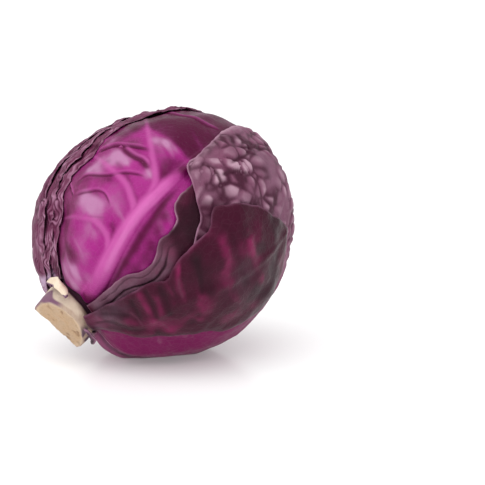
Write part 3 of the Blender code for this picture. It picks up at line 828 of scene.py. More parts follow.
# Where the marks of the front leaf lie
FRONT_CREASES = (  # width and depth in mm, the step between its sides in mm, and its points
    (0.9, 1.3, 1.3, [(79, 57), (81, 56), (83, 51), (86, 45), (89, 38), (94, 30)]),
    (1.4, 1.0, 1.0, [(87, 42), (86, 37), (86, 32), (87, 28), (86, 23)]),
    (0.8, 0.8, 0.8, [(62, 51), (64, 50), (68, 46), (71, 39), (74, 34), (78, 30), (81, 25), (84, 19)]),
    (0.8, 0.7, 0.8, [(57, 47), (60, 43), (63, 38), (65, 35), (66, 31), (65, 27), (63, 23)]),
    (1.0, 1.0, 0.9, [(64, 59), (61, 58), (59, 53), (57, 47)]),
    (1.0, 0.8, 0.7, [(121, 58), (122, 46), (126, 34), (132, 22)]),
    (0.6, 0.3, 0.3, [(46, 49), (52, 35), (56, 27), (60, 20)]),
)
FRONT_SHADOWS = (  # strength, width in mm and points
    (0.75, 3.0, (88, 44), (87, 38), (87, 30), (86, 22)),
    (0.55, 2.4, (86, 47), (89, 38), (93, 30), (96, 25)),
    (0.45, 2.6, (60, 51), (64, 48), (68, 42), (71, 36), (72, 30)),
    (0.35, 2.2, (62, 40), (64, 34), (64, 28), (61, 23)),
    (0.5, 2.4, (49, 8), (53, 11), (57, 15), (59, 20)),
    (0.4, 2.0, (70, 12), (73, 17), (76, 24), (79, 32), (80, 40)),
    (0.35, 1.8, (80, 10), (86, 13), (91, 18), (95, 24)),
)
# Maroon areas, partly the leaf's own dark colour and partly painted shade right of the rib and near the stem
FRONT_DARK = (  # maroon areas: polar, azimuth, radius in mm and strength
    (94, 20, 5.5, 0.9), (98, 14, 7, 0.9), (93, 26, 4, 0.7), (90, 17, 5, 0.8), (86, 14, 4, 0.6),
    (50, 51, 7, 0.5), (43, 47, 6, 0.45), (34, 35, 6, 0.5), (88, 47, 6, 0.45), (86, 55, 5, 0.5),
    (91, 39, 4, 0.35), (34, 33, 5, 0.6), (36, 40, 5, 0.6), (33, 27, 4, 0.4), (18, -2, 6, 0.6), (21, -9, 5, 0.6),
    (58, -6, 7, 0.65), (51, -8, 6, 0.6), (64, -3, 6, 0.7), (71, 0, 5, 0.7), (77, 3, 4, 0.7), (30, 62, 9, 0.5),
    (44, 58, 7, 0.6), (58, 60, 6, 0.5), (78, 41, 3, 0.35), (56, 10, 6, 0.25), (60, 6, 8, 0.2),
)
# Lilac areas: painted highlights on the swells, and the leaf's own paler lilac near its base
FRONT_PALE = (  # lilac areas
    (59, 33, 7, 1.0), (58, 39, 6, 0.8), (60, 28, 5, 0.5), (81, 40, 6, 0.9), (83, 34, 5, 0.6), (74, 42, 6, 0.9),
    (72, 48, 5, 0.7), (76, 47, 5, 0.8), (84, 22, 4, 0.5), (101, 28, 4, 0.55), (102, 23, 3.5, 0.4),
    (99, 33, 3, 0.35), (22, 19, 6, 0.8), (30, 13, 6, 0.5), (26, 32, 7, 0.55), (24, 46, 6, 0.3),
    (30, 22, 5, 0.6), (47, 27, 8, 0.45), (40, 20, 7, 0.3), (66, 20, 7, 0.3), (70, 27, 6, 0.35),
    (88, 50, 4, 0.5), (52, 24, 6, 0.35),
)
# Dull plum areas of the leaf's own colour, and a painted purple sheen near its top
FRONT_DUSTY = (  # dull plum areas
    (52, 51, 7, 0.95), (48, 49, 7, 0.95), (43, 46, 7, 0.95), (41, 40, 7, 0.85), (37, 46, 6, 0.9),
    (34, 33, 6, 0.9), (36, 26, 5, 0.6), (31, 50, 6, 0.7), (66, 43, 6, 0.8), (69, 37, 5, 0.7), (64, 49, 5, 0.7),
    (88, 47, 6, 0.95), (86, 54, 6, 0.95), (91, 39, 5, 0.8), (72, 55, 6, 0.8), (101, 29, 6, 0.8),
    (26, 26, 6, 0.5), (26, 46, 7, 0.8), (22, 38, 5, 0.6), (84, 40, 6, 0.5), (123, 34, 7, 0.6),
    (127, 22, 8, 0.6), (128, 54, 8, 0.5), (60, 55, 5, 0.7), (80, 50, 7, 0.5),
)


def front_rib(patch):
    """How much of the thick rib is at each place, how many rib widths away the rib is, and its long strands."""
    from_rib, up_rib, side = in_batches(closest_on, patch.towards, patch.leaf.rib)
    share = from_rib / (patch.leaf.rib_width * (1 - 0.65 * up_rib))
    soft = between(side * share, -0.2, 0.4)
    rib = (1 - between(share, 0.45, 1.05)) * (1 - soft) + (1 - between(share, 0.5, 1.9)) * soft
    rib = rib * window(patch.polar, 17, 50, 84, 98) * (0.9 + 0.15 * patch.noise(6, 16))
    across = np.where(side > 0, 1, -1) * from_rib / MM
    strand_places = np.stack([across * 0.42, up_rib * 7, 0 * up_rib], axis=1)
    strands = grain(strand_places, 1, 17) + 0.5 * grain(strand_places * (2.1, 1.2, 1), 1, 18)
    return rib * (0.86 + 0.3 * strands), share, strands


def front_relief(patch):
    """Billows between the veins, creases across the blade, and its maroon, plum, lilac and magenta areas;
    painted shade lies in the creases, along the valley beside the rib and in soft shadows, and painted highlights
    on the swells, along the creases' lips and down the rib's crest.
    """
    look = bpy.context.scene.cabbage_sizes
    towards = patch.towards
    height = patch.lumps((0.6, 24, 1), (0.25, 10, 2), (0.07, 4, 3))
    # The creases' grooves are painted as shade and their raised lips as highlights
    creases = lips = 0
    for width, depth, step, points in FRONT_CREASES:
        shape, inside, lip = fold(towards, width, depth, step, *points)
        height = height + look.crease_depth * shape
        creases = np.maximum(creases, inside * min(1, 1.1 * depth))
        lips = np.maximum(lips, lip * min(1, depth))
    # Painted shade along the valley beside the rib
    valley = line(towards, 3.0, (16, -14), (28, -10), (37, -6), (47, -2), (57, 1), (66, 4), (74, 6), (82, 8), (94, 9))
    shadows = lines(towards, *FRONT_SHADOWS)
    above = between(patch.polar, 88, 93) * between(patch.azimuth, 41, 47)
    crown = between(patch.polar + 0.05 * patch.azimuth, 103, 107)
    dark = spots(towards, *FRONT_DARK)
    pale = spots(towards, *FRONT_PALE)
    dusty = spots(towards, *FRONT_DUSTY)
    ways = np.stack([patch.polar * 0.22 - patch.azimuth * 0.06, patch.azimuth * 0.035, 0 * patch.polar], axis=1)
    streaks = grain(ways, 1, 14) + 0.6 * grain(ways * 2.3, 1, 15)
    crown = np.maximum(0.95 * crown, 0.9 * above) * (0.85 + 0.2 * streaks)
    dark = 1 - (1 - dark) * (1 - crown) * (1 - shadows)
    dark = np.clip(dark * (1 + 0.25 * patch.noise(7, 11) + 0.2 * streaks) + 0.2 * between(streaks, 0.4, 1.2), 0, 1)
    pale = np.clip(pale * (1 + 0.35 * patch.noise(5, 12) - 0.35 * streaks) + 0.25 * between(-streaks, 0.5, 1.2), 0, 1)
    pale = pale * (1 - crown)
    beside_rib = line(towards, 5.0, (24, -16), (34, -14), (46, -10), (57, -6), (67, -2), (76, 2), (86, 5))
    dark = np.maximum(dark, 0.55 * beside_rib * (0.8 + 0.4 * streaks))
    dull_side = between(patch.azimuth + 6 * patch.noise(9, 19), 34, 47) * between(patch.polar, 20, 30)
    dark = np.maximum(dark, 0.5 * dull_side * (1 - between(patch.polar, 46, 56)) * (0.8 + 0.5 * patch.noise(6, 20)))
    # The shade mark: painted shade in the valley, the creases and the soft shadows, over the leaf's own dark areas
    shade = 1 - (1 - 0.85 * valley) * (1 - 0.9 * creases) * (1 - dark)
    rib, share, strands = front_rib(patch)
    beside = between(share, 0.9, 1.4)
    vein = between(patch.ridge / MM, 0.15, 1.1) * beside * (1 - 0.75 * between(patch.polar, 98, 122))
    # The lips' painted highlight goes into the vein mark
    vein = np.maximum(np.maximum(rib, 0.62 * vein), 0.5 * lips)
    dusty = np.maximum(dusty, 1.1 * dull_side * (1 - between(patch.polar, 64, 80)))
    dusty = dusty * (1 + 0.3 * patch.noise(6, 13)) * (1 - 0.9 * crown)
    # A painted highlight down the crest of the rib
    core = np.exp(-((share / 0.5) ** 2)) * window(patch.polar, 32, 50, 72, 86)
    pale = np.maximum(pale, 0.95 * core * (0.85 + 0.3 * strands))
    shade = shade * (1 - 0.95 * rib) * (1 - 0.5 * vein)
    return height, leaf_marks(patch, shade, pale, dusty * (1 - 0.8 * rib), vein, 0.5, crown)


def pillows(patch, size, seed):
    """Soft blisters between cracks that come and go: how far up its dome a place is, and how deep in a crack."""
    wander = np.stack([patch.noise(17, seed + k) for k in range(3)], axis=1) * 3.0 * MM
    gap = blisters(patch.point + wander, size, seed + 3)
    cracks = (1 - smoothstep(gap / 0.34)) * between(patch.noise(8, seed + 4), -0.8, 0.5)
    return smoothstep(gap / 0.55), cracks


def crumpled_relief(patch, seed):
    """Short folds along its edges, with painted highlights on their pale dusty backs and painted shade in the gaps,
    blistered further in, with painted highlights on the tops and painted shade in the cracks, pale at the stem.
    """
    look = bpy.context.scene.cabbage_sizes
    inward = patch.edge / MM + 5 * patch.noise(14, seed + 11)
    band = 1 - between(inward, 9, 27)
    run = patch.edge / (3.6 * MM) + 1.2 * patch.noise(10, seed) + 0.8 * patch.noise(4.5, seed + 1)
    back = np.abs(np.sin(math.pi * run)) ** 0.6
    broken = between(patch.noise(8, seed + 7) + 0.5 * patch.noise(3.4, seed + 8), -0.5, 0.35)
    crumple = grain(patch.point, 6 * MM, seed + 2)
    dome, cracks = pillows(patch, 11 * MM, seed + 12)
    inside = (1 - band) * between(patch.polar, 22, 40)
    height = look.crumple_height * (band * (broken * (back - 0.5) + 0.8 * crumple) + 0.6 * inside * (dome - 0.6))
    height = height + patch.lumps((0.7, 20, seed + 3), (0.25, 7, seed + 5), (0.1, 3.2, seed + 4))
    # Painted shade in the gaps between the folds, the crumple's hollows and the blisters' cracks, over uneven patches
    shade = band * (broken * (1 - back) ** 1.2 + 0.45 * between(-crumple, 0.1, 0.8)) + 0.4 * inside * cracks
    shade = shade + 0.25 * between(-patch.noise(13, seed + 16), 0.1, 0.9)
    shade = shade + 0.3 * band * between(-patch.noise(5, seed + 18), -0.2, 0.8)
    vein = between(patch.ridge / MM, 0.25, 1.0)
    near_stem = 0.8 - 0.8 * between(patch.polar + 3 * patch.noise(9, seed + 9), 18, 23)
    near_stem = near_stem * between(patch.azimuth, 74, 92)
    # Painted highlights on the backs of the folds and on the blister tops
    backs = 0.75 * back**2 * band * (0.35 + 0.65 * between(crumple + 0.5 * patch.noise(3.4, seed + 5), -0.3, 0.7))
    tops = 0.35 * inside * dome * between(patch.noise(9, seed + 17), -0.7, 0.6)
    light = np.maximum(backs, tops) * (1 - near_stem)
    bloom = (0.4 + 0.5 * patch.noise(10, seed + 6)) * (1 - near_stem)
    shade = shade * (1 - vein) * (1 - 0.7 * near_stem)
    return height, leaf_marks(patch, shade, light, bloom, 0.7 * vein, 0.7, near_stem)


def left_inner_relief(patch):
    return crumpled_relief(patch, 20)


def left_middle_relief(patch):
    return crumpled_relief(patch, 40)


def left_outer_relief(patch):
    return crumpled_relief(patch, 60)


def right_inner_relief(patch):
    """A dusty grey band with narrow gaps along the wavy edge, turning to smooth dark maroon higher up; the gaps hold
    painted shade, as does the place where it lies deep under the blistered leaf.
    """
    towards = patch.towards
    low_down = 1 - between(patch.polar, 62, 76)
    inward = patch.edge / MM + 0.8 * patch.noise(7, 70)
    band = low_down * (1 - between(inward, 9, 14)) * between(patch.polar, 16, 22)
    # Narrow gaps along the edge, sunk and painted with shade
    gaps = 0.5 * np.exp(-(((inward - 3.4 - 0.9 * patch.noise(12, 71)) / 0.6) ** 2))
    gaps = np.maximum(gaps, np.exp(-(((inward - 7.6 - 1.4 * patch.noise(15, 72)) / 0.8) ** 2)))
    gaps = gaps * low_down * between(patch.polar + 9 * patch.noise(9, 73), 18, 32)
    height = patch.lumps((0.6, 18, 74), (0.4, 7, 75), (0.14, 3, 76)) - 0.7 * MM * gaps
    # Painted shade where it lies deep under the blistered leaf
    hollow = spots(towards, (92, -5, 8, 0.95), (88, -10, 7, 0.9), (82, -10, 6, 0.8))
    dark = 0.5 * between(patch.polar, 62, 74) + 0.4 * patch.noise(8, 77)
    shade = 1 - (1 - 0.9 * gaps) * (1 - hollow) * (1 - np.clip(dark, 0, 0.9))
    light = spots(towards, (69, -12, 5, 0.5), (78, -8, 4, 0.5), (60, -15, 5, 0.3), (86, -2, 3, 0.4))
    light = light + 0.3 * band * between(patch.noise(3.5, 79), 0, 0.7)
    return height, leaf_marks(patch, shade, light, band * (0.95 + 0.3 * patch.noise(5, 78)), 0, 0.75)


def right_top_relief(patch):
    """Blisters between fine cracks, with painted highlights on their tops, painted shade in the cracks and creases
    and in a hollow low down; its low side, under its neighbour, is smooth and wine red with a painted sheen.
    """
    look = bpy.context.scene.cabbage_sizes
    towards = patch.towards
    dome, cracks = pillows(patch, look.blister_size, 81)
    low_side = between(-patch.azimuth + 7 * patch.noise(16, 74) + 3 * patch.noise(6, 73), 36, 56)
    low_side = low_side * (1 - between(patch.polar + 8 * patch.noise(14, 72), 112, 136))
    blistered = (1 - low_side) * (0.6 + 0.4 * between(patch.noise(15, 80), -0.4, 0.4))
    height = look.blister_height * blistered * (dome - 0.6) + patch.lumps((0.7, 14, 85), (0.35, 6, 79), (0.1, 3, 86))
    height = height * between(patch.edge / MM, 0, 2.5)
    creases = 0
    for width, depth, step, points in (
        (1.3, 1.1, 0.8, [(143, 6), (134, 3), (127, 1), (120, 2), (112, 2)]),
        (1.1, 0.9, 0.7, [(106, 1), (110, 0), (115, -2), (121, -8)]),
        (1.2, 0.9, 0.7, [(124, 9), (128, 6), (139, 1), (154, -10)]),
        (1.1, 0.7, 0.6, [(104, 12), (106, 6), (106, 1), (104, -5), (99, -10)]),
    ):
        shape, inside, _ = fold(towards, width, depth, step, *points)
        height = height + shape
        creases = np.maximum(creases, inside)
    # Painted shade in the cracks between blisters, over uneven darker patches
    shade = 0.8 * cracks * (1 - low_side) + 0.6 * between(-patch.noise(10, 87), 0.1, 0.9)
    # Painted shade in the hollow low down, beside its neighbours
    lower = spots(
        towards, (101, -8, 6, 0.7), (96, -8, 5, 0.8), (92, -13, 6, 0.9), (88, -11, 6, 0.95), (82, -13, 6, 0.95),
        (76, -16, 6, 0.95), (70, -20, 8, 0.9),
    )
    # Painted shade in the creases joins the rest
    shade = 1 - (1 - 0.9 * creases) * (1 - np.clip(shade, 0, 0.9)) * (1 - lower)
    sheen = between(patch.noise(9, 77) + 0.5 * patch.noise(4, 76), 0.35, 0.9)
    border = 0.6 * np.exp(-((patch.edge / (4 * MM)) ** 2)) * between(patch.polar, 94, 102)
    # Painted highlights on the blister tops
    light = dome**1.5 * blistered * (0.45 + 0.55 * between(patch.noise(9, 88) + 0.3 * patch.noise(4, 75), -0.6, 0.5))
    light = np.maximum(light, border) + 0.25 * low_side * sheen
    bloom = (0.6 + 0.4 * patch.noise(13, 89)) * (1 - low_side)
    return height, leaf_marks(patch, shade * (1 - 0.6 * low_side), light, bloom, 0, 0.8, low_side)


def right_outer_relief(patch):
    """Broad wine-red ridges that run down from its high edge, with painted highlights and glints on them,
    painted shade in the hollows between them, and a greyish painted glossy highlight beside the stem.
    """
    towards = patch.towards
    near_stem = window(patch.polar, 16, 22, 30, 50)
    fan = np.sin(np.radians(patch.azimuth) * 24 + 1.8 * patch.noise(15, 91) + 1.0)
    height = 0.5 * MM * near_stem * fan + patch.lumps((1.0, 15, 92), (0.45, 7, 93), (0.1, 3, 94))
    # Ridges, raised, with painted highlights along them
    raised = lines(
        towards,
        (1.0, 3.0, (82, -11), (78, -13), (73, -15), (69, -18), (66, -22), (64, -27), (63, -34), (62, -42)),
        (0.75, 2.8, (49, -15), (48, -23), (48, -30), (48, -38), (50, -46)),
        (0.6, 2.4, (54, -17), (54, -25), (53, -32), (52, -40)),
        (0.45, 2.0, (60, -17), (60, -22), (60, -28), (58, -34)),
        (0.7, 4.0, (65, -29), (66, -35), (66, -42), (63, -50)),
        (0.6, 4.5, (38, -46), (46, -48), (56, -52), (68, -56)),
        (0.5, 4.0, (92, -14), (88, -22), (84, -32), (82, -44), (84, -56)),
        (0.45, 3.5, (106, -20), (100, -30), (97, -42), (98, -56)),
        (0.5, 2.6, (22, -28), (31, -31), (38, -35), (43, -42)),
    )
    raised = raised * between(patch.noise(9, 95) + 0.5 * patch.noise(4, 99), -0.9, 0.6)
    # Hollows between the ridges, sunk, with painted shade in them
    hollows = lines(
        towards,
        (0.9, 2.4, (77, -18), (75, -22), (73, -28), (70, -36)),
        (0.8, 2.2, (44, -19), (43, -24), (43, -30), (42, -37)),
        (0.8, 2.4, (57, -19), (57, -26), (56, -33), (55, -40)),
        (0.7, 1.8, (51, -17), (51, -24), (50, -31), (49, -38)),
        (0.8, 2.0, (24, -24), (31, -25), (37, -28), (40, -33)),
        (0.6, 2.0, (24, -40), (31, -41), (38, -42), (45, -43)),
        (0.6, 4.0, (96, -20), (92, -28), (90, -38), (90, -50)),
    )
    height = height + (1.0 * raised - 0.7 * hollows) * MM * between(patch.edge / MM, 0, 3)
    glow = between(patch.noise(14, 96) + 0.4 * patch.noise(6, 90), -0.3, 1.0)
    # Painted highlights along the ridges, over uneven paler patches
    light = np.clip(0.62 * raised + 0.4 * glow, 0, 1)
    # Painted shade in the hollows and in the fan's troughs by the stem, over uneven darker patches
    shade = 1 - (1 - 0.75 * hollows) * (1 - 0.5 * near_stem * between(-fan, 0.3, 1))
    shade = 1 - (1 - shade) * (1 - 0.6 * between(patch.noise(10, 98) - raised, -0.1, 0.8))
    # Thin painted glints, which the vein mark carries
    glints = lines(
        towards,
        (1.0, 0.7, (40, -27), (41, -31), (42, -35), (43, -40)),
        (1.0, 0.7, (50, -40), (51, -44), (52, -49)),
        (1.0, 0.8, (66, -21), (64, -26), (63, -32)),
    )
    # A greyish painted glossy highlight beside the stem, which the mark for the waxy coat carries
    bloom = spots(
        towards, (30, -29, 6, 0.95), (24, -30, 6, 0.8), (34, -23, 5, 0.7), (22, -42, 6, 0.6), (38, -25, 4, 0.5),
        (28, -38, 5, 0.4), (90, -40, 12, 0.3),
    )
    return height, leaf_marks(patch, shade, light, bloom * (0.8 + 0.4 * patch.noise(3, 97)), 0.6 * glints, 0.8)


def under_relief(patch):
    """A wine-red leaf, a little wrinkled between its veins, with painted shade in the wrinkles' cracks and painted
    highlights on their tops, dusty beside the stem.
    """
    dome, cracks = pillows(patch, 15 * MM, 100)
    height = 0.45 * MM * (dome - 0.6) + patch.lumps((0.6, 24, 101), (0.25, 9, 102), (0.06, 3.5, 103))
    folds = between(patch.noise(10, 104) + 0.6 * patch.noise(4.5, 105), 0.2, 1)
    near_stem = 1 - between(patch.polar, 22, 38)
    vein = between(patch.ridge / MM, 0.2, 0.9)
    # Painted shade in the wrinkles' cracks, over uneven darker patches
    shade = 0.35 * cracks + 0.4 * between(-patch.noise(16, 106), 0, 0.8)
    # Painted highlights on the wrinkles' tops, with paler streaks, and the paler leaf beside the stem
    light = 0.35 * folds + 0.25 * dome * between(patch.noise(12, 107), 0, 0.8) + 0.3 * near_stem
    return height, leaf_marks(patch, shade * (1 - vein), light, 0.8 * near_stem, 0.6 * vein, 0.8)


def back_relief(patch):
    """A broad leaf with branching ribs, blistered between them, with painted shade in the cracks and painted
    highlights on the domes, and dusted with wax.
    """
    dome, cracks = pillows(patch, 13 * MM, 111)
    height = 1.0 * MM * (dome - 0.6) + patch.lumps((0.7, 22, 117), (0.25, 7, 118), (0.1, 3, 119))
    vein = between(patch.ridge / MM, 0.25, 1.2)
    # Painted shade in the cracks between blisters and painted highlights on their domes, both uneven
    shade = 0.55 * cracks + 0.35 * between(-patch.noise(14, 120), 0, 1)
    light = 0.6 * dome * between(patch.noise(10, 115) + 0.4 * patch.noise(4, 119), -0.7, 0.6)
    return height, leaf_marks(patch, shade * (1 - vein), light, 0.5 + 0.4 * patch.noise(16, 116), 0.8 * vein, 0.9)


def upper_stub_relief(patch):
    """The damp, slanting cut through a leaf's base, over a sliver of its purple skin."""
    height = patch.lumps((0.25, 6, 121), (0.1, 2.2, 122)) * between(patch.edge / MM, 0, 1.5)
    skin = 1 - between(patch.along + 0.05 * patch.noise(5, 123), 0.3, 0.4)
    marks = leaf_marks(patch, 0.5 * between(patch.noise(4, 124), 0.3, 1), 0, 0, 0, 0.5)
    marks["skin"] = skin
    return height, marks


def lower_stub_relief(patch):
    """A lumpy dried scrap of leaf."""
    height = patch.lumps((0.5, 7, 131), (0.25, 2.8, 132)) * between(patch.edge / MM, 0, 1.2)
    return height, leaf_marks(patch, 0.6 + 0.4 * patch.noise(4, 133), 0.5 * between(patch.noise(3, 134), 0.3, 1), 0, 0)


def core_radius(height):
    """Radius of the stem's core at a height along its axis from the head's centre."""
    share = (height - CORE_TIP_HEIGHT) / (NECK_START - CORE_TIP_HEIGHT)
    return CORE_TIP_RADIUS + (NECK_RADIUS - CORE_TIP_RADIUS) * smoothstep(share) ** 0.6


def on_axis(height, radius, azimuth):
    """Points at a height along the stem's axis and a radius from it; the stump leans off the axis."""
    height = np.asarray(height, float).reshape(-1, 1)
    across = np.cos(azimuth)[:, None] * FRONT + np.sin(azimuth)[:, None] * UPPER_LEFT
    lean = STUMP_LEAN * np.maximum(height - FLARE_START, 0)
    return CENTRE + height * STEM + np.asarray(radius).reshape(-1, 1) * across - lean * UPPER_LEFT


def cut_height(radius, azimuth):
    """Height of the cut face: one flat cut, and a second one that takes off the far side."""
    front = radius * np.cos(azimuth)
    up = radius * np.sin(azimuth)
    first = CUT_HEIGHT - CUT_TILT_FRONT * front - CUT_TILT_UP * up
    return first - SECOND_CUT_SLOPE * np.maximum(-front - SECOND_CUT_REACH, 0)


def stem_knobs(height, azimuth):
    """Unevenness of the stump where leaf bases were cut off around it."""
    share = smoothstep((height - FLARE_START) / (FLARE_END - FLARE_START))
    return 0.6 * MM * share * (np.cos(3 * azimuth + 0.6) + 0.6 * np.cos(5 * azimuth + 2.1))


def ring_mesh(rings, sides):
    """Quads between rings of vertices, and the triangles that close both ends on the last two vertices."""
    ring, side = np.meshgrid(np.arange(rings - 1), np.arange(sides), indexing="ij")
    after = (side + 1) % sides
    here = ring * sides
    quads = np.stack([here + side, here + after, here + sides + after, here + sides + side], -1).reshape(-1, 4)
    side = np.arange(sides)
    after = (side + 1) % sides
    first = rings * sides
    last = (rings - 1) * sides
    tip = np.stack([0 * side + first, after, side], 1)
    face = np.stack([0 * side + first + 1, last + side, last + after], 1)
    return quads, np.concatenate([tip, face])


def stump_rings(azimuth):
    """Rings up the core, over the flare and its side, and in across the rough cut face."""
    sides = len(azimuth)
    rings = []
    for height in np.linspace(CORE_TIP_HEIGHT, NECK_START, 8):
        rings.append((on_axis(height, np.full(sides, core_radius(height)), azimuth), 0))
    for height in np.linspace(NECK_START, FLARE_START, 12)[1:]:
        rings.append((on_axis(height, np.full(sides, NECK_RADIUS), azimuth), 0))
    for share in np.linspace(0, 1, 14)[1:]:
        height = FLARE_START + share * (FLARE_END - FLARE_START)
        flare = NECK_RADIUS + (FOOT_RADIUS - NECK_RADIUS) * math.sin(share * math.pi / 2)
        rings.append((on_axis(height, flare + stem_knobs(height, azimuth), azimuth), 0))
    rim = FOOT_RADIUS - 0.6 * MM + stem_knobs(FLARE_END, azimuth)
    top = cut_height(rim, azimuth)
    wide = FOOT_RADIUS + stem_knobs(FLARE_END, azimuth)
    for share in np.linspace(0, 1, 16)[1:-1]:
        height = FLARE_END + share * (top - FLARE_END)
        rings.append((on_axis(height, wide + (rim - wide) * share**3, azimuth), 0))
    for share in np.linspace(1, 0, 30, endpoint=False):
        rings.append((on_axis(cut_height(share * rim, azimuth), share * rim, azimuth), min(1, (1 - share) * 12)))
    return rings


def build_stem(material):
    """The core, the flared stump and its rough cut face, with the marks that its skin reads."""
    azimuth = np.linspace(0, 2 * math.pi, STEM_SIDES, endpoint=False)
    look = bpy.context.scene.cabbage_sizes
    rings = stump_rings(azimuth)
    tip = on_axis(CORE_TIP_HEIGHT - 2 * MM, 0, azimuth[:1])
    face_middle = on_axis(CUT_HEIGHT, 0, azimuth[:1])
    vertices = np.vstack([ring for ring, _ in rings] + [tip, face_middle])
    cut = np.concatenate([np.full(STEM_SIDES, share) for _, share in rings] + [[0, 1]])
    relative = vertices - CENTRE
    height = relative @ STEM
    lean = STUMP_LEAN * np.maximum(height - FLARE_START, 0)
    around = relative - height[:, None] * STEM + lean[:, None] * UPPER_LEFT
    radius = np.linalg.norm(around, axis=1)
    turn = np.degrees(np.arctan2(around @ UPPER_LEFT, around @ FRONT))
    shown = between(height / MM, *STUMP_SHOWN)
    saw = np.sin((relative @ unit(FRONT + 0.4 * UPPER_LEFT)) / (1.1 * MM) + 1.5 * grain(relative, 8 * MM, 141))
    rough = 0.5 * grain(relative, 5 * MM, 142) + 0.35 * grain(relative, 2.2 * MM, 143) + 0.12 * saw
    pits = between(grain(relative, 3 * MM, 144), 0.45, 0.9)
    face = look.stump_roughness * (rough - 0.8 * pits)
    vertices = vertices + (face * cut * shown - 0.25 * MM * cut)[:, None] * STEM
    side = 0.7 * grain(relative * (1, 1, 0.7), 6 * MM, 145) + 0.3 * grain(relative, 2.5 * MM, 146)
    side = look.stump_roughness * side
    outward = unit(around + 1e-12)
    vertices = vertices + (side * (1 - cut) * shown * between(radius / MM, 1, 3))[:, None] * outward
    below_cut = (cut_height(FOOT_RADIUS, np.radians(turn)) - height) / MM + 0.5 * grain(relative, 5 * MM, 147)
    band_end = 1.8 + 6.5 * between(turn + 6 * grain(relative, 6 * MM, 150), 38, 62)
    band = window(below_cut, -0.6, 0.5, band_end, band_end + 1.2) * window(turn, 14, 34, 104, 124)
    # The neck, where it runs in between the leaf bases, is painted dark as shade
    neck = 1 - between(height / MM + 0.5 * grain(relative, 4 * MM, 149), 76, 77.5)
    cream = window(turn, -30, 10, 90, 110) * (1 - cut) * between(below_cut, 1.6, 2.8)
    scraps = between(grain(relative * (1, 1, 0.5), 4.5 * MM, 148), -0.1, 0.25) * window(-turn, 30, 50, 100, 130)
    scraps = scraps * (1 - cut) * between(height / MM, 79, 81)
    marks = {
        "cut": cut,
        "band": band * (1 - cut) * shown,
        "scrap": scraps,
        "pits": pits,
        "rim": np.exp(-(((radius / MM - CUT_RIM_RADIUS) / 1.2) ** 2)) * cut,
        "neck": neck * (1 - cut),
        "cream": cream,
    }
    quads, ends = ring_mesh(len(rings), STEM_SIDES)
    return add_piece("stem_fine", "stem", vertices, quads, marks, material, ends)


def build_heart(material):
    """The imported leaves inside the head, with the socket that the stem's core fills."""
    azimuth = np.linspace(0, 2 * math.pi, HEART_SIDES, endpoint=False)
    rings = []
    for height in np.linspace(CORE_TIP_HEIGHT, NECK_START, 8):
        rings.append(on_axis(height, np.full(HEART_SIDES, core_radius(height) + SOCKET_CLEARANCE), azimuth))
    for polar in np.linspace(math.radians(HEART_START), math.pi, HEART_RINGS, endpoint=False):
        towards = direction(np.full(HEART_SIDES, polar), azimuth)
        radii = stack(towards)
        radius = radii[0] - heart_steps(towards) + 0.2 * MM * (grain(towards, 0.1, 151) - 1)
        rings.append(pressed(towards, radius, radii[-1]))
    bottom = on_axis(CORE_TIP_HEIGHT - 2 * MM - SOCKET_CLEARANCE, 0, azimuth[:1])
    radii = stack(-STEM[None, :])
    crown = pressed(-STEM[None, :], radii[0], radii[-1])
    vertices = np.vstack(rings + [bottom, crown])
    relative = unit(vertices - CENTRE)
    zero = np.zeros(len(vertices))
    marks = {
        "shade": 0.5 + 0.4 * grain(relative, 0.2, 152),
        "light": between(grain(relative, 0.12, 153), 0.2, 0.9),
        "bloom": 0.4 + zero,
        "vein": zero,
        "rim": zero,
        "other": zero,
    }
    quads, ends = ring_mesh(len(rings), HEART_SIDES)
    return add_piece("heart_fine", "heart", vertices, quads[:, ::-1], marks, material, ends[:, ::-1])


class Value:
    """A socket of a shader's graph that takes part in Python expressions, each adding its own Math node."""

    def __init__(self, graph, socket):
        self.graph = graph
        self.socket = socket

    def math(self, operation, *others, clamp=False):
        inputs = dict(enumerate(others))
        return self.graph.node("ShaderNodeMath", {"operation": operation, "use_clamp": clamp}, inputs)

    def __add__(self, other):
        return self.math("ADD", self, other)

    __radd__ = __add__

    def __mul__(self, other):
        return self.math("MULTIPLY", self, other)

    __rmul__ = __mul__

    def __sub__(self, other):
        return self.math("SUBTRACT", self, other)

    def __rsub__(self, other):
        return self.math("SUBTRACT", other, self)

    def clamped(self):
        return self.math("ADD", self, 0.0, clamp=True)

    def stepped(self, low, high):
        """0 below the first value, 1 above the second, and a smooth change between them."""
        settings = {"interpolation_type": "SMOOTHSTEP"}
        return self.graph.node("ShaderNodeMapRange", settings, {"Value": self, "From Min": low, "From Max": high})


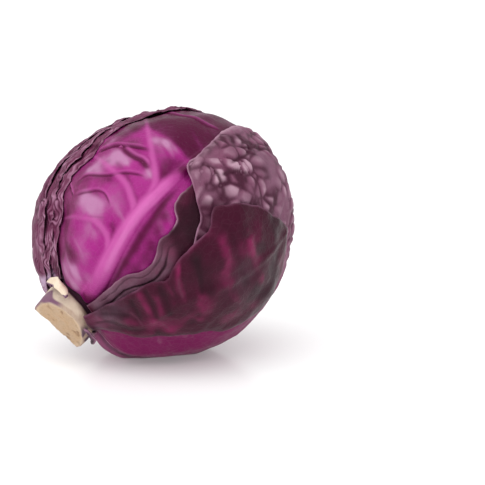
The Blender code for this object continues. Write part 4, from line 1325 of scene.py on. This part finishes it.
class Graph:
    """The node tree of one material."""

    def __init__(self, name):
        self.material = bpy.data.materials.new(name)
        self.material.use_nodes = True
        self.tree = self.material.node_tree
        self.shader = self.tree.nodes["Principled BSDF"]

    def node(self, kind, settings=None, inputs=None, output=0):
        """Adds a node, sets it up, feeds its sockets with values or links, and gives one of its outputs."""
        node = self.tree.nodes.new(kind)
        for key, value in (settings or {}).items():
            setattr(node, key, value)
        for key, value in (inputs or {}).items():
            self.feed(node.inputs[key], value)
        return Value(self, node.outputs[output])

    def feed(self, socket, value):
        if isinstance(value, Value):
            self.tree.links.new(value.socket, socket)
        elif socket.type == "RGBA" and len(value) == 3:
            socket.default_value = (*value, 1)
        else:
            socket.default_value = value

    def mark(self, name):
        return self.node("ShaderNodeAttribute", {"attribute_name": name}, output="Fac")

    def place(self, scale=(1, 1, 1)):
        """Points of the piece in metres, stretched by the given scale."""
        place = self.node("ShaderNodeTexCoord", output="Object")
        return self.node("ShaderNodeVectorMath", {"operation": "MULTIPLY"}, {0: place, 1: scale})

    def noise(self, place, size, detail=3.0, roughness=0.55, distortion=0.0):
        """Cloudy noise from 0 to 1 with lumps of the given size in metres."""
        inputs = {
            "Vector": place, "Scale": 1 / size, "Detail": detail, "Roughness": roughness, "Distortion": distortion,
        }
        return self.node("ShaderNodeTexNoise", None, inputs)

    def net(self, place, size):
        """Distance to the nearest wall of a net with meshes of the given size in metres."""
        settings = {"feature": "DISTANCE_TO_EDGE"}
        return self.node("ShaderNodeTexVoronoi", settings, {"Vector": place, "Scale": 1 / size}, "Distance")

    def mix(self, factor, a, b):
        """Colour a where the factor is 0 and colour b where it is 1."""
        return self.node("ShaderNodeMix", {"data_type": "RGBA"}, {0: factor, 6: a, 7: b}, 2)

    def bump(self, height, distance, strength=1.0):
        return self.node("ShaderNodeBump", None, {"Strength": strength, "Distance": distance, "Height": height})

    def finish(self, colour, roughness, normal, **settings):
        self.feed(self.shader.inputs["Base Color"], colour)
        self.feed(self.shader.inputs["Roughness"], roughness)
        self.feed(self.shader.inputs["Normal"], normal)
        for socket, value in settings.items():
            self.shader.inputs[socket.replace("_", " ")].default_value = value
        return self.material


def leaf_skin(name, body, dark, pale, dusty, rib, rim, gloss=0.36, other=None):
    """Waxy leaf: its body colour darkens with painted shade in hollows, pales with painted highlights on swells,
    greys under its wax and under painted sheen on two leaves, and nets with tiny veins.
    """
    # dark is the colour painted shade turns it to and pale that of painted highlights, as well as own dark and pale
    # areas
    other = body if other is None else other
    look = bpy.context.scene.cabbage_sizes
    graph = Graph(name)
    place = graph.place()
    clouds = graph.noise(place, 9 * MM, 4.0, 0.6, 0.6)
    specks = graph.noise(place, 1.6 * MM, 3.0, 0.65)
    walls = graph.net(place, 4.2 * MM)
    small_walls = graph.net(place, 1.5 * MM)
    net = 1 - walls.stepped(0.0, 0.07)
    small_net = 1 - small_walls.stepped(0.0, 0.10)
    shade = (graph.mark("shade") + (clouds - 0.5) * 0.35).stepped(0.02, 0.98)
    light = (graph.mark("light") + (clouds - 0.5) * 0.5 * graph.mark("light").stepped(0.0, 0.3)).stepped(0.05, 1.0)
    bloom = (graph.mark("bloom") * (clouds * 0.7 + specks * 0.5 + 0.25)).clamped()
    vein = graph.mark("vein")
    edge = graph.mark("rim")
    deeper = tuple(0.55 * b + 0.45 * d for b, d in zip(body, dark))
    colour = graph.mix(clouds.stepped(0.3, 0.75) * 0.5, body, deeper)
    colour = graph.mix(graph.mark("other") * (0.8 + clouds * 0.3), colour, other)
    # Grey of the waxy coat, which on two leaves also paints a sheen and a glossy highlight
    colour = graph.mix(bloom * 0.85, colour, dusty)
    colour = graph.mix(light * 0.9, colour, pale)
    colour = graph.mix(shade * 0.95, colour, dark)
    colour = graph.mix((net * 0.10 + small_net * 0.04) * (1 - shade), colour, rib)
    colour = graph.mix(specks.stepped(0.62, 0.8) * 0.12, colour, pale)
    colour = graph.mix(vein * (0.75 + clouds * 0.3), colour, rib)
    # The pale rim line, partly the edge's own colour and partly a painted highlight
    colour = graph.mix(edge * 0.75, colour, rim)
    roughness = (bloom * 0.22 + clouds * 0.12 + specks * 0.08 + (gloss - 0.1)).clamped()
    height = clouds * 0.5 + specks * 0.22 + net * 0.28 + small_net * 0.08
    normal = graph.bump(height, 0.5 * MM, look.skin_relief)
    return graph.finish(colour, roughness, normal, Specular_IOR_Level=0.14)


def stump_skin():
    """Dry cut stump: fibrous tan face with pits and stains, paler smooth side, a strip of purple skin,
    and painted shade on its neck where it runs in between the leaf bases.
    """
    paint = bpy.context.scene.cabbage_colours
    graph = Graph("stump_flesh")
    place = graph.place()
    clouds = graph.noise(place, 7 * MM, 4.0, 0.6)
    grit = graph.noise(place, 1.1 * MM, 4.0, 0.7)
    streaks = graph.noise(graph.place((1.0, 0.35, 0.35)), 1.8 * MM, 3.0, 0.6)
    pores = 1 - graph.net(place, 1.3 * MM).stepped(0.0, 0.16)
    cut = graph.mark("cut")
    face = graph.mix(clouds.stepped(0.3, 0.7), paint.stump_face, tint(201, 168, 132))
    face = graph.mix(clouds.stepped(0.55, 0.8) * 0.5, face, tint(178, 140, 106))
    face = graph.mix(graph.mark("pits") * 0.75, face, tint(136, 102, 74))
    face = graph.mix(grit.stepped(0.5, 0.72) * 0.5, face, tint(158, 124, 92))
    face = graph.mix(pores * 0.15, face, tint(140, 105, 78))
    side = graph.mix(streaks.stepped(0.35, 0.7), paint.stump_side, tint(184, 156, 136))
    side = graph.mix(clouds.stepped(0.5, 0.8) * 0.4, side, tint(228, 208, 186))
    colour = graph.mix(cut.stepped(0.2, 0.8), side, face)
    colour = graph.mix(graph.mark("rim") * 0.35, colour, tint(236, 216, 190))
    colour = graph.mix(graph.mark("cream") * (clouds * 0.6 + 0.3), colour, paint.fresh_cut)
    colour = graph.mix(graph.mark("band") * (0.75 + clouds * 0.4), colour, paint.stump_band)
    # Painted shade on the neck between the leaf bases
    colour = graph.mix(graph.mark("neck"), colour, tint(62, 20, 44))
    colour = graph.mix(graph.mark("scrap") * 0.9, colour, tint(88, 58, 84))
    roughness = (grit * 0.25 + 0.55).clamped()
    height = grit * 0.5 + streaks * 0.3 - pores * 0.3 + clouds * 0.3
    return graph.finish(colour, roughness, graph.bump(height, 0.6 * MM, 0.8))


def upper_stub_skin():
    """Cream cut flesh with faint fibres, and purple skin where the knife did not reach."""
    paint = bpy.context.scene.cabbage_colours
    graph = Graph("cut_leaf_base")
    place = graph.place()
    clouds = graph.noise(place, 5 * MM, 4.0, 0.6)
    fibres = graph.noise(graph.place((1.0, 1.0, 0.25)), 0.9 * MM, 3.0, 0.6)
    flesh = graph.mix(clouds.stepped(0.35, 0.75), paint.fresh_cut, tint(228, 205, 178))
    flesh = graph.mix(graph.mark("shade") * 0.4, flesh, tint(206, 176, 150))
    flesh = graph.mix(fibres.stepped(0.5, 0.75) * 0.25, flesh, tint(252, 244, 228))
    skin = graph.mix(clouds, paint.stump_band, tint(120, 84, 112))
    colour = graph.mix(graph.mark("skin"), flesh, skin)
    roughness = (clouds * 0.15 + 0.4).clamped()
    return graph.finish(colour, roughness, graph.bump(fibres * 0.6 + clouds * 0.4, 0.4 * MM, 0.6))


def floor_paint():
    """Pale, faintly glossy ground, a little lit of itself so that it stays near white."""
    graph = Graph("pale_floor")
    place = graph.place()
    clouds = graph.noise(place, 0.4, 2.0)
    grit = graph.noise(place, 2 * MM, 2.0)
    colour = graph.mix(clouds, (0.93, 0.93, 0.93), (0.95, 0.95, 0.95))
    roughness = grit * 0.05 + 0.16
    relief = graph.bump(grit, 0.02 * MM, 0.2)
    glow = {"Emission_Color": (1, 1, 1, 1), "Emission_Strength": 0.2}
    return graph.finish(colour, roughness, relief, Specular_IOR_Level=0.25, **glow)


def length_setting(name, description, default, least, most):
    """A length in metres that the panel shows, with its name there, its default and its limits."""
    return FloatProperty(
        name=name, description=description, default=default, min=least, max=most, precision=5, unit="LENGTH",
        subtype="DISTANCE",
    )


class CabbageSizes(PropertyGroup):
    """Sizes of the fine relief and of the studio."""

    crease_depth: FloatProperty(
        name="Crease depth", description="How strong the creases of the front leaf are", default=1.0, min=0, max=2,
    )
    crumple_height: length_setting(
        "Crumple height", "Height of the folds along the left leaves' edges", 1.1 * MM, 0, 2 * MM
    )
    blister_size: length_setting(
        "Blister size", "Width of a blister on the leaf at the upper right", 9.0 * MM, 4 * MM, 20 * MM
    )
    blister_height: length_setting(
        "Blister height", "Height of a blister on the leaf at the upper right", 1.8 * MM, 0, 3 * MM
    )
    stump_roughness: length_setting(
        "Stump roughness", "How far the stump's cut face rises and falls", 0.7 * MM, 0, 1.5 * MM
    )
    skin_relief: FloatProperty(
        name="Skin relief", description="Strength of the finest relief of the leaves", default=0.55, min=0, max=1,
    )
    floor_size: length_setting("Floor size", "Width of the square floor", 60.0, 1, 1000)
    key_strength: FloatProperty(
        name="Key light", description="Strength of the broad soft light above", default=1.6, min=0,
    )
    key_spread: FloatProperty(
        name="Key spread", description="How wide the soft light is, seen from the cabbage",
        default=math.radians(80), min=0, max=math.radians(180), subtype="ANGLE",
    )
    sky_strength: FloatProperty(
        name="Sky light", description="Strength of the even light from all around", default=0.76, min=0,
    )


def colour_setting(name, description, colour):
    """A colour that the panel shows, with its name there and its default."""
    return FloatVectorProperty(
        name=name, description=description, default=colour, size=3, min=0, max=1, subtype="COLOR"
    )


class CabbageColours(PropertyGroup):
    """Colours of the leaves and the stump."""

    front_body: colour_setting("Front leaf", "Magenta of the front leaf", tint(162, 36, 128))
    # Painted shade in the front leaf's creases and hollows turns to this, as do its own dark areas
    front_dark: colour_setting("Front leaf, dark", "Its dark hollows and top", tint(82, 0, 50))
    front_crown: colour_setting("Front leaf, top", "Maroon of its upper end", tint(66, 0, 36))
    # Painted highlights on the front leaf turn to this lilac, as do its own pale areas
    front_pale: colour_setting("Front leaf, lilac", "Its pale lilac areas", tint(184, 128, 168))
    front_dusty: colour_setting("Front leaf, dusty", "Its dull plum areas", tint(112, 50, 82))
    front_rib: colour_setting("Front leaf, rib", "Its rib and veins", tint(204, 98, 172))
    left_body: colour_setting("Left leaves", "Plum of the crumpled leaves at the left", tint(104, 38, 72))
    # Painted highlights on the backs of the left leaves' folds turn to this colour
    left_pale: colour_setting("Left leaves, pale", "Backs of their folds", tint(178, 126, 156))
    # Painted shade in the gaps between their folds turns to this colour
    left_dark: colour_setting("Left leaves, dark", "Gaps between their folds", tint(72, 12, 46))
    inner_body: colour_setting("Right inner leaf", "Its dark maroon", tint(76, 14, 44))
    inner_dusty: colour_setting("Right inner leaf, dusty", "The grey band along its edge", tint(122, 88, 106))
    top_body: colour_setting("Right top leaf", "Mauve of the blistered leaf", tint(122, 62, 92))
    # Painted highlights on the blister tops turn to this colour
    top_pale: colour_setting("Right top leaf, pale", "Tops of its blisters", tint(194, 156, 174))
    outer_body: colour_setting("Right outer leaf", "Dark maroon of the lumpy leaf", tint(62, 6, 34))
    # Painted highlights along its ridges turn to this colour
    outer_pale: colour_setting("Right outer leaf, pale", "Its ridges", tint(142, 34, 88))
    under_body: colour_setting("Under leaf", "Wine red of the leaf that the head rests on", tint(114, 2, 76))
    back_body: colour_setting("Back leaf", "Purple of the leaf at the back", tint(100, 46, 74))
    stump_face: colour_setting("Stump face", "Tan of the cut face", tint(198, 170, 140))
    stump_side: colour_setting("Stump side", "Paler side of the stump", tint(196, 172, 152))
    stump_band: colour_setting("Stump skin", "Purple skin left on the stump", tint(122, 78, 108))
    fresh_cut: colour_setting("Fresh cut", "Cream of the cut leaf base", tint(236, 220, 196))


# The pale rim line's colour, partly the edge's own colour and partly a painted highlight
PALE_EDGE = tint(178, 130, 156)
# The colour of painted shade in gaps, cracks and hollows, which on some leaves is also their own darkest tone
DARK_GAP = tint(36, 5, 20)


class CABBAGE_OT_stem(Operator):
    """Build the stump and its core"""

    bl_idname = "cabbage.stem"
    bl_label = "Stem"

    def execute(self, context):
        build_stem(stump_skin())
        return {"FINISHED"}


class CABBAGE_OT_heart(Operator):
    """Build the tightly packed heart inside the leaves"""

    bl_idname = "cabbage.heart"
    bl_label = "Heart"

    def execute(self, context):
        paint = context.scene.cabbage_colours
        build_heart(leaf_skin(
            "heart_skin", paint.left_body, DARK_GAP, paint.front_pale, paint.left_pale, paint.front_rib, PALE_EDGE
        ))
        return {"FINISHED"}


class CABBAGE_OT_front_leaf(Operator):
    """Build the broad magenta leaf with the branching rib"""

    bl_idname = "cabbage.front_leaf"
    bl_label = "Front leaf"

    def execute(self, context):
        paint = context.scene.cabbage_colours
        skin = leaf_skin(
            "magenta_skin", paint.front_body, paint.front_dark, paint.front_pale, paint.front_dusty, paint.front_rib,
            PALE_EDGE, 0.34, paint.front_crown,
        )
        dress_leaf(FRONT_LEAF, 0, front_relief, skin, 300, 270, 0.95)
        return {"FINISHED"}


class CABBAGE_OT_left_leaves(Operator):
    """Build the three crumpled leaves whose edges overlap at the left"""

    bl_idname = "cabbage.left_leaves"
    bl_label = "Left leaves"

    def execute(self, context):
        paint = context.scene.cabbage_colours
        skin = leaf_skin(
            "crumpled_skin", paint.left_body, paint.left_dark, paint.left_pale, tint(114, 60, 90),
            tint(146, 98, 124), PALE_EDGE, 0.4, tint(204, 176, 206),
        )
        dress_leaf(LEFT_INNER_LEAF, 3, left_inner_relief, skin, 260, 140, 0.6)
        dress_leaf(LEFT_MIDDLE_LEAF, 6, left_middle_relief, skin, 260, 140, 0.6)
        dress_leaf(LEFT_OUTER_LEAF, 8, left_outer_relief, skin, 260, 150, 0.75)
        return {"FINISHED"}


class CABBAGE_OT_right_leaves(Operator):
    """Build the leaf with the wavy edge, the blistered leaf and the dark lumpy leaf at the right"""

    bl_idname = "cabbage.right_leaves"
    bl_label = "Right leaves"

    def execute(self, context):
        paint = context.scene.cabbage_colours
        inner = leaf_skin(
            "wavy_edge_skin", paint.inner_body, DARK_GAP, tint(116, 50, 80), paint.inner_dusty, tint(120, 60, 90),
            PALE_EDGE, 0.38,
        )
        # Its pale colour paints the highlights on the blister tops
        top = leaf_skin(
            "blistered_skin", paint.top_body, tint(66, 22, 44), paint.top_pale, tint(134, 98, 118),
            tint(150, 104, 130), PALE_EDGE, 0.42, paint.under_body,
        )
        # Its dusty colour paints the greyish glossy highlight beside the stem, its pale one the ridge highlights, its
        # rib one the glints
        outer = leaf_skin(
            "lumpy_skin", paint.outer_body, DARK_GAP, paint.outer_pale, tint(100, 74, 90), tint(96, 46, 68),
            tint(120, 72, 98), 0.36,
        )
        dress_leaf(RIGHT_INNER_LEAF, 4, right_inner_relief, inner, 260, 150, 0.65)
        dress_leaf(RIGHT_TOP_LEAF, 5, right_top_relief, top, 270, 170, 0.8)
        dress_leaf(RIGHT_OUTER_LEAF, 7, right_outer_relief, outer, 230, 180, 0.8)
        return {"FINISHED"}


class CABBAGE_OT_back_leaves(Operator):
    """Build the leaf at the back and the one that the head rests on"""

    bl_idname = "cabbage.back_leaves"
    bl_label = "Back and under leaves"

    def execute(self, context):
        paint = context.scene.cabbage_colours
        back = leaf_skin(
            "back_skin", paint.back_body, DARK_GAP, tint(140, 92, 118), tint(124, 92, 112), tint(150, 98, 126),
            PALE_EDGE, 0.4,
        )
        under = leaf_skin(
            "wine_skin", paint.under_body, tint(56, 6, 34), tint(136, 56, 100), tint(126, 88, 116),
            tint(160, 74, 122), PALE_EDGE, 0.32,
        )
        dress_leaf(BACK_LEAF, 1, back_relief, back, 170, 140)
        dress_leaf(UNDER_LEAF, 2, under_relief, under, 170, 140)
        return {"FINISHED"}


class CABBAGE_OT_stubs(Operator):
    """Build the two leaf bases that were cut off at the stem"""

    bl_idname = "cabbage.stubs"
    bl_label = "Cut leaf bases"

    def execute(self, context):
        scrap = leaf_skin(
            "dried_scrap", tint(76, 44, 66), tint(26, 10, 20), tint(140, 96, 120), tint(110, 82, 98),
            tint(110, 70, 92), PALE_EDGE, 0.5,
        )
        dress_leaf(UPPER_STUB, len(LEAVES), upper_stub_relief, upper_stub_skin(), 40, 70)
        dress_leaf(LOWER_STUB, len(LEAVES), lower_stub_relief, scrap, 24, 70)
        return {"FINISHED"}


def add_sun(name, strength, spread, toward):
    """A very large soft light that shines along a direction."""
    light = bpy.data.lights.new(name, "SUN")
    light.energy = strength
    light.angle = spread
    lamp = bpy.data.objects.new(name, light)
    level = math.hypot(toward[0], toward[1])
    lamp.rotation_euler = (math.atan2(level, -toward[2]), 0, math.atan2(-toward[0], toward[1]))
    bpy.context.scene.collection.objects.link(lamp)


class CABBAGE_OT_stage(Operator):
    """Build the pale floor, the soft light and the camera"""

    bl_idname = "cabbage.stage"
    bl_label = "Stage"

    def execute(self, context):
        scene = context.scene
        look = scene.cabbage_sizes
        half = look.floor_size / 2
        mesh = bpy.data.meshes.new("floor")
        mesh.from_pydata([(-half, -half, 0), (half, -half, 0), (half, half, 0), (-half, half, 0)], [], [(0, 1, 2, 3)])
        mesh.materials.append(floor_paint())
        floor = bpy.data.objects.new("floor", mesh)
        scene.collection.objects.link(floor)
        world = bpy.data.worlds.new("studio")
        world.use_nodes = True
        world.node_tree.nodes["Background"].inputs["Color"].default_value = (1, 1, 1, 1)
        world.node_tree.nodes["Background"].inputs["Strength"].default_value = look.sky_strength
        scene.world = world
        add_sun("key_light", look.key_strength, look.key_spread, (0.25, 0.55, -1.0))
        lens = bpy.data.cameras.new("camera")
        lens.lens = CAMERA_LENS
        lens.sensor_width = CAMERA_SENSOR
        camera = bpy.data.objects.new("camera", lens)
        camera.location = CAMERA_PLACE
        camera.rotation_euler = (CAMERA_TILT, 0, 0)
        scene.collection.objects.link(camera)
        scene.camera = camera
        scene.view_settings.view_transform = "Standard"
        return {"FINISHED"}


class CABBAGE_PT_build(Panel):
    """Lists the steps that build the cabbage, and the sizes and colours that they use"""

    bl_idname = "CABBAGE_PT_build"
    bl_label = "Red cabbage"
    bl_space_type = "VIEW_3D"
    bl_region_type = "UI"
    bl_category = "Cabbage"

    def draw(self, context):
        for operator in OPERATORS:
            self.layout.operator(operator.bl_idname)
        for settings in (context.scene.cabbage_sizes, context.scene.cabbage_colours):
            box = self.layout.box()
            for name in settings.__annotations__:
                box.prop(settings, name)


OPERATORS = (
    CABBAGE_OT_stem,
    CABBAGE_OT_heart,
    CABBAGE_OT_front_leaf,
    CABBAGE_OT_left_leaves,
    CABBAGE_OT_right_leaves,
    CABBAGE_OT_back_leaves,
    CABBAGE_OT_stubs,
    CABBAGE_OT_stage,
)
CLASSES = (CabbageSizes, CabbageColours, *OPERATORS, CABBAGE_PT_build)


def register():
    for item in CLASSES:
        bpy.utils.register_class(item)
    bpy.types.Scene.cabbage_sizes = PointerProperty(type=CabbageSizes)
    bpy.types.Scene.cabbage_colours = PointerProperty(type=CabbageColours)


def unregister():
    del bpy.types.Scene.cabbage_colours
    del bpy.types.Scene.cabbage_sizes
    for item in reversed(CLASSES):
        bpy.utils.unregister_class(item)


def main():
    register()
    bpy.ops.cabbage.stem()
    bpy.ops.cabbage.heart()
    bpy.ops.cabbage.front_leaf()
    bpy.ops.cabbage.left_leaves()
    bpy.ops.cabbage.right_leaves()
    bpy.ops.cabbage.back_leaves()
    bpy.ops.cabbage.stubs()
    bpy.ops.cabbage.stage()


if __name__ == "__main__":
    main()
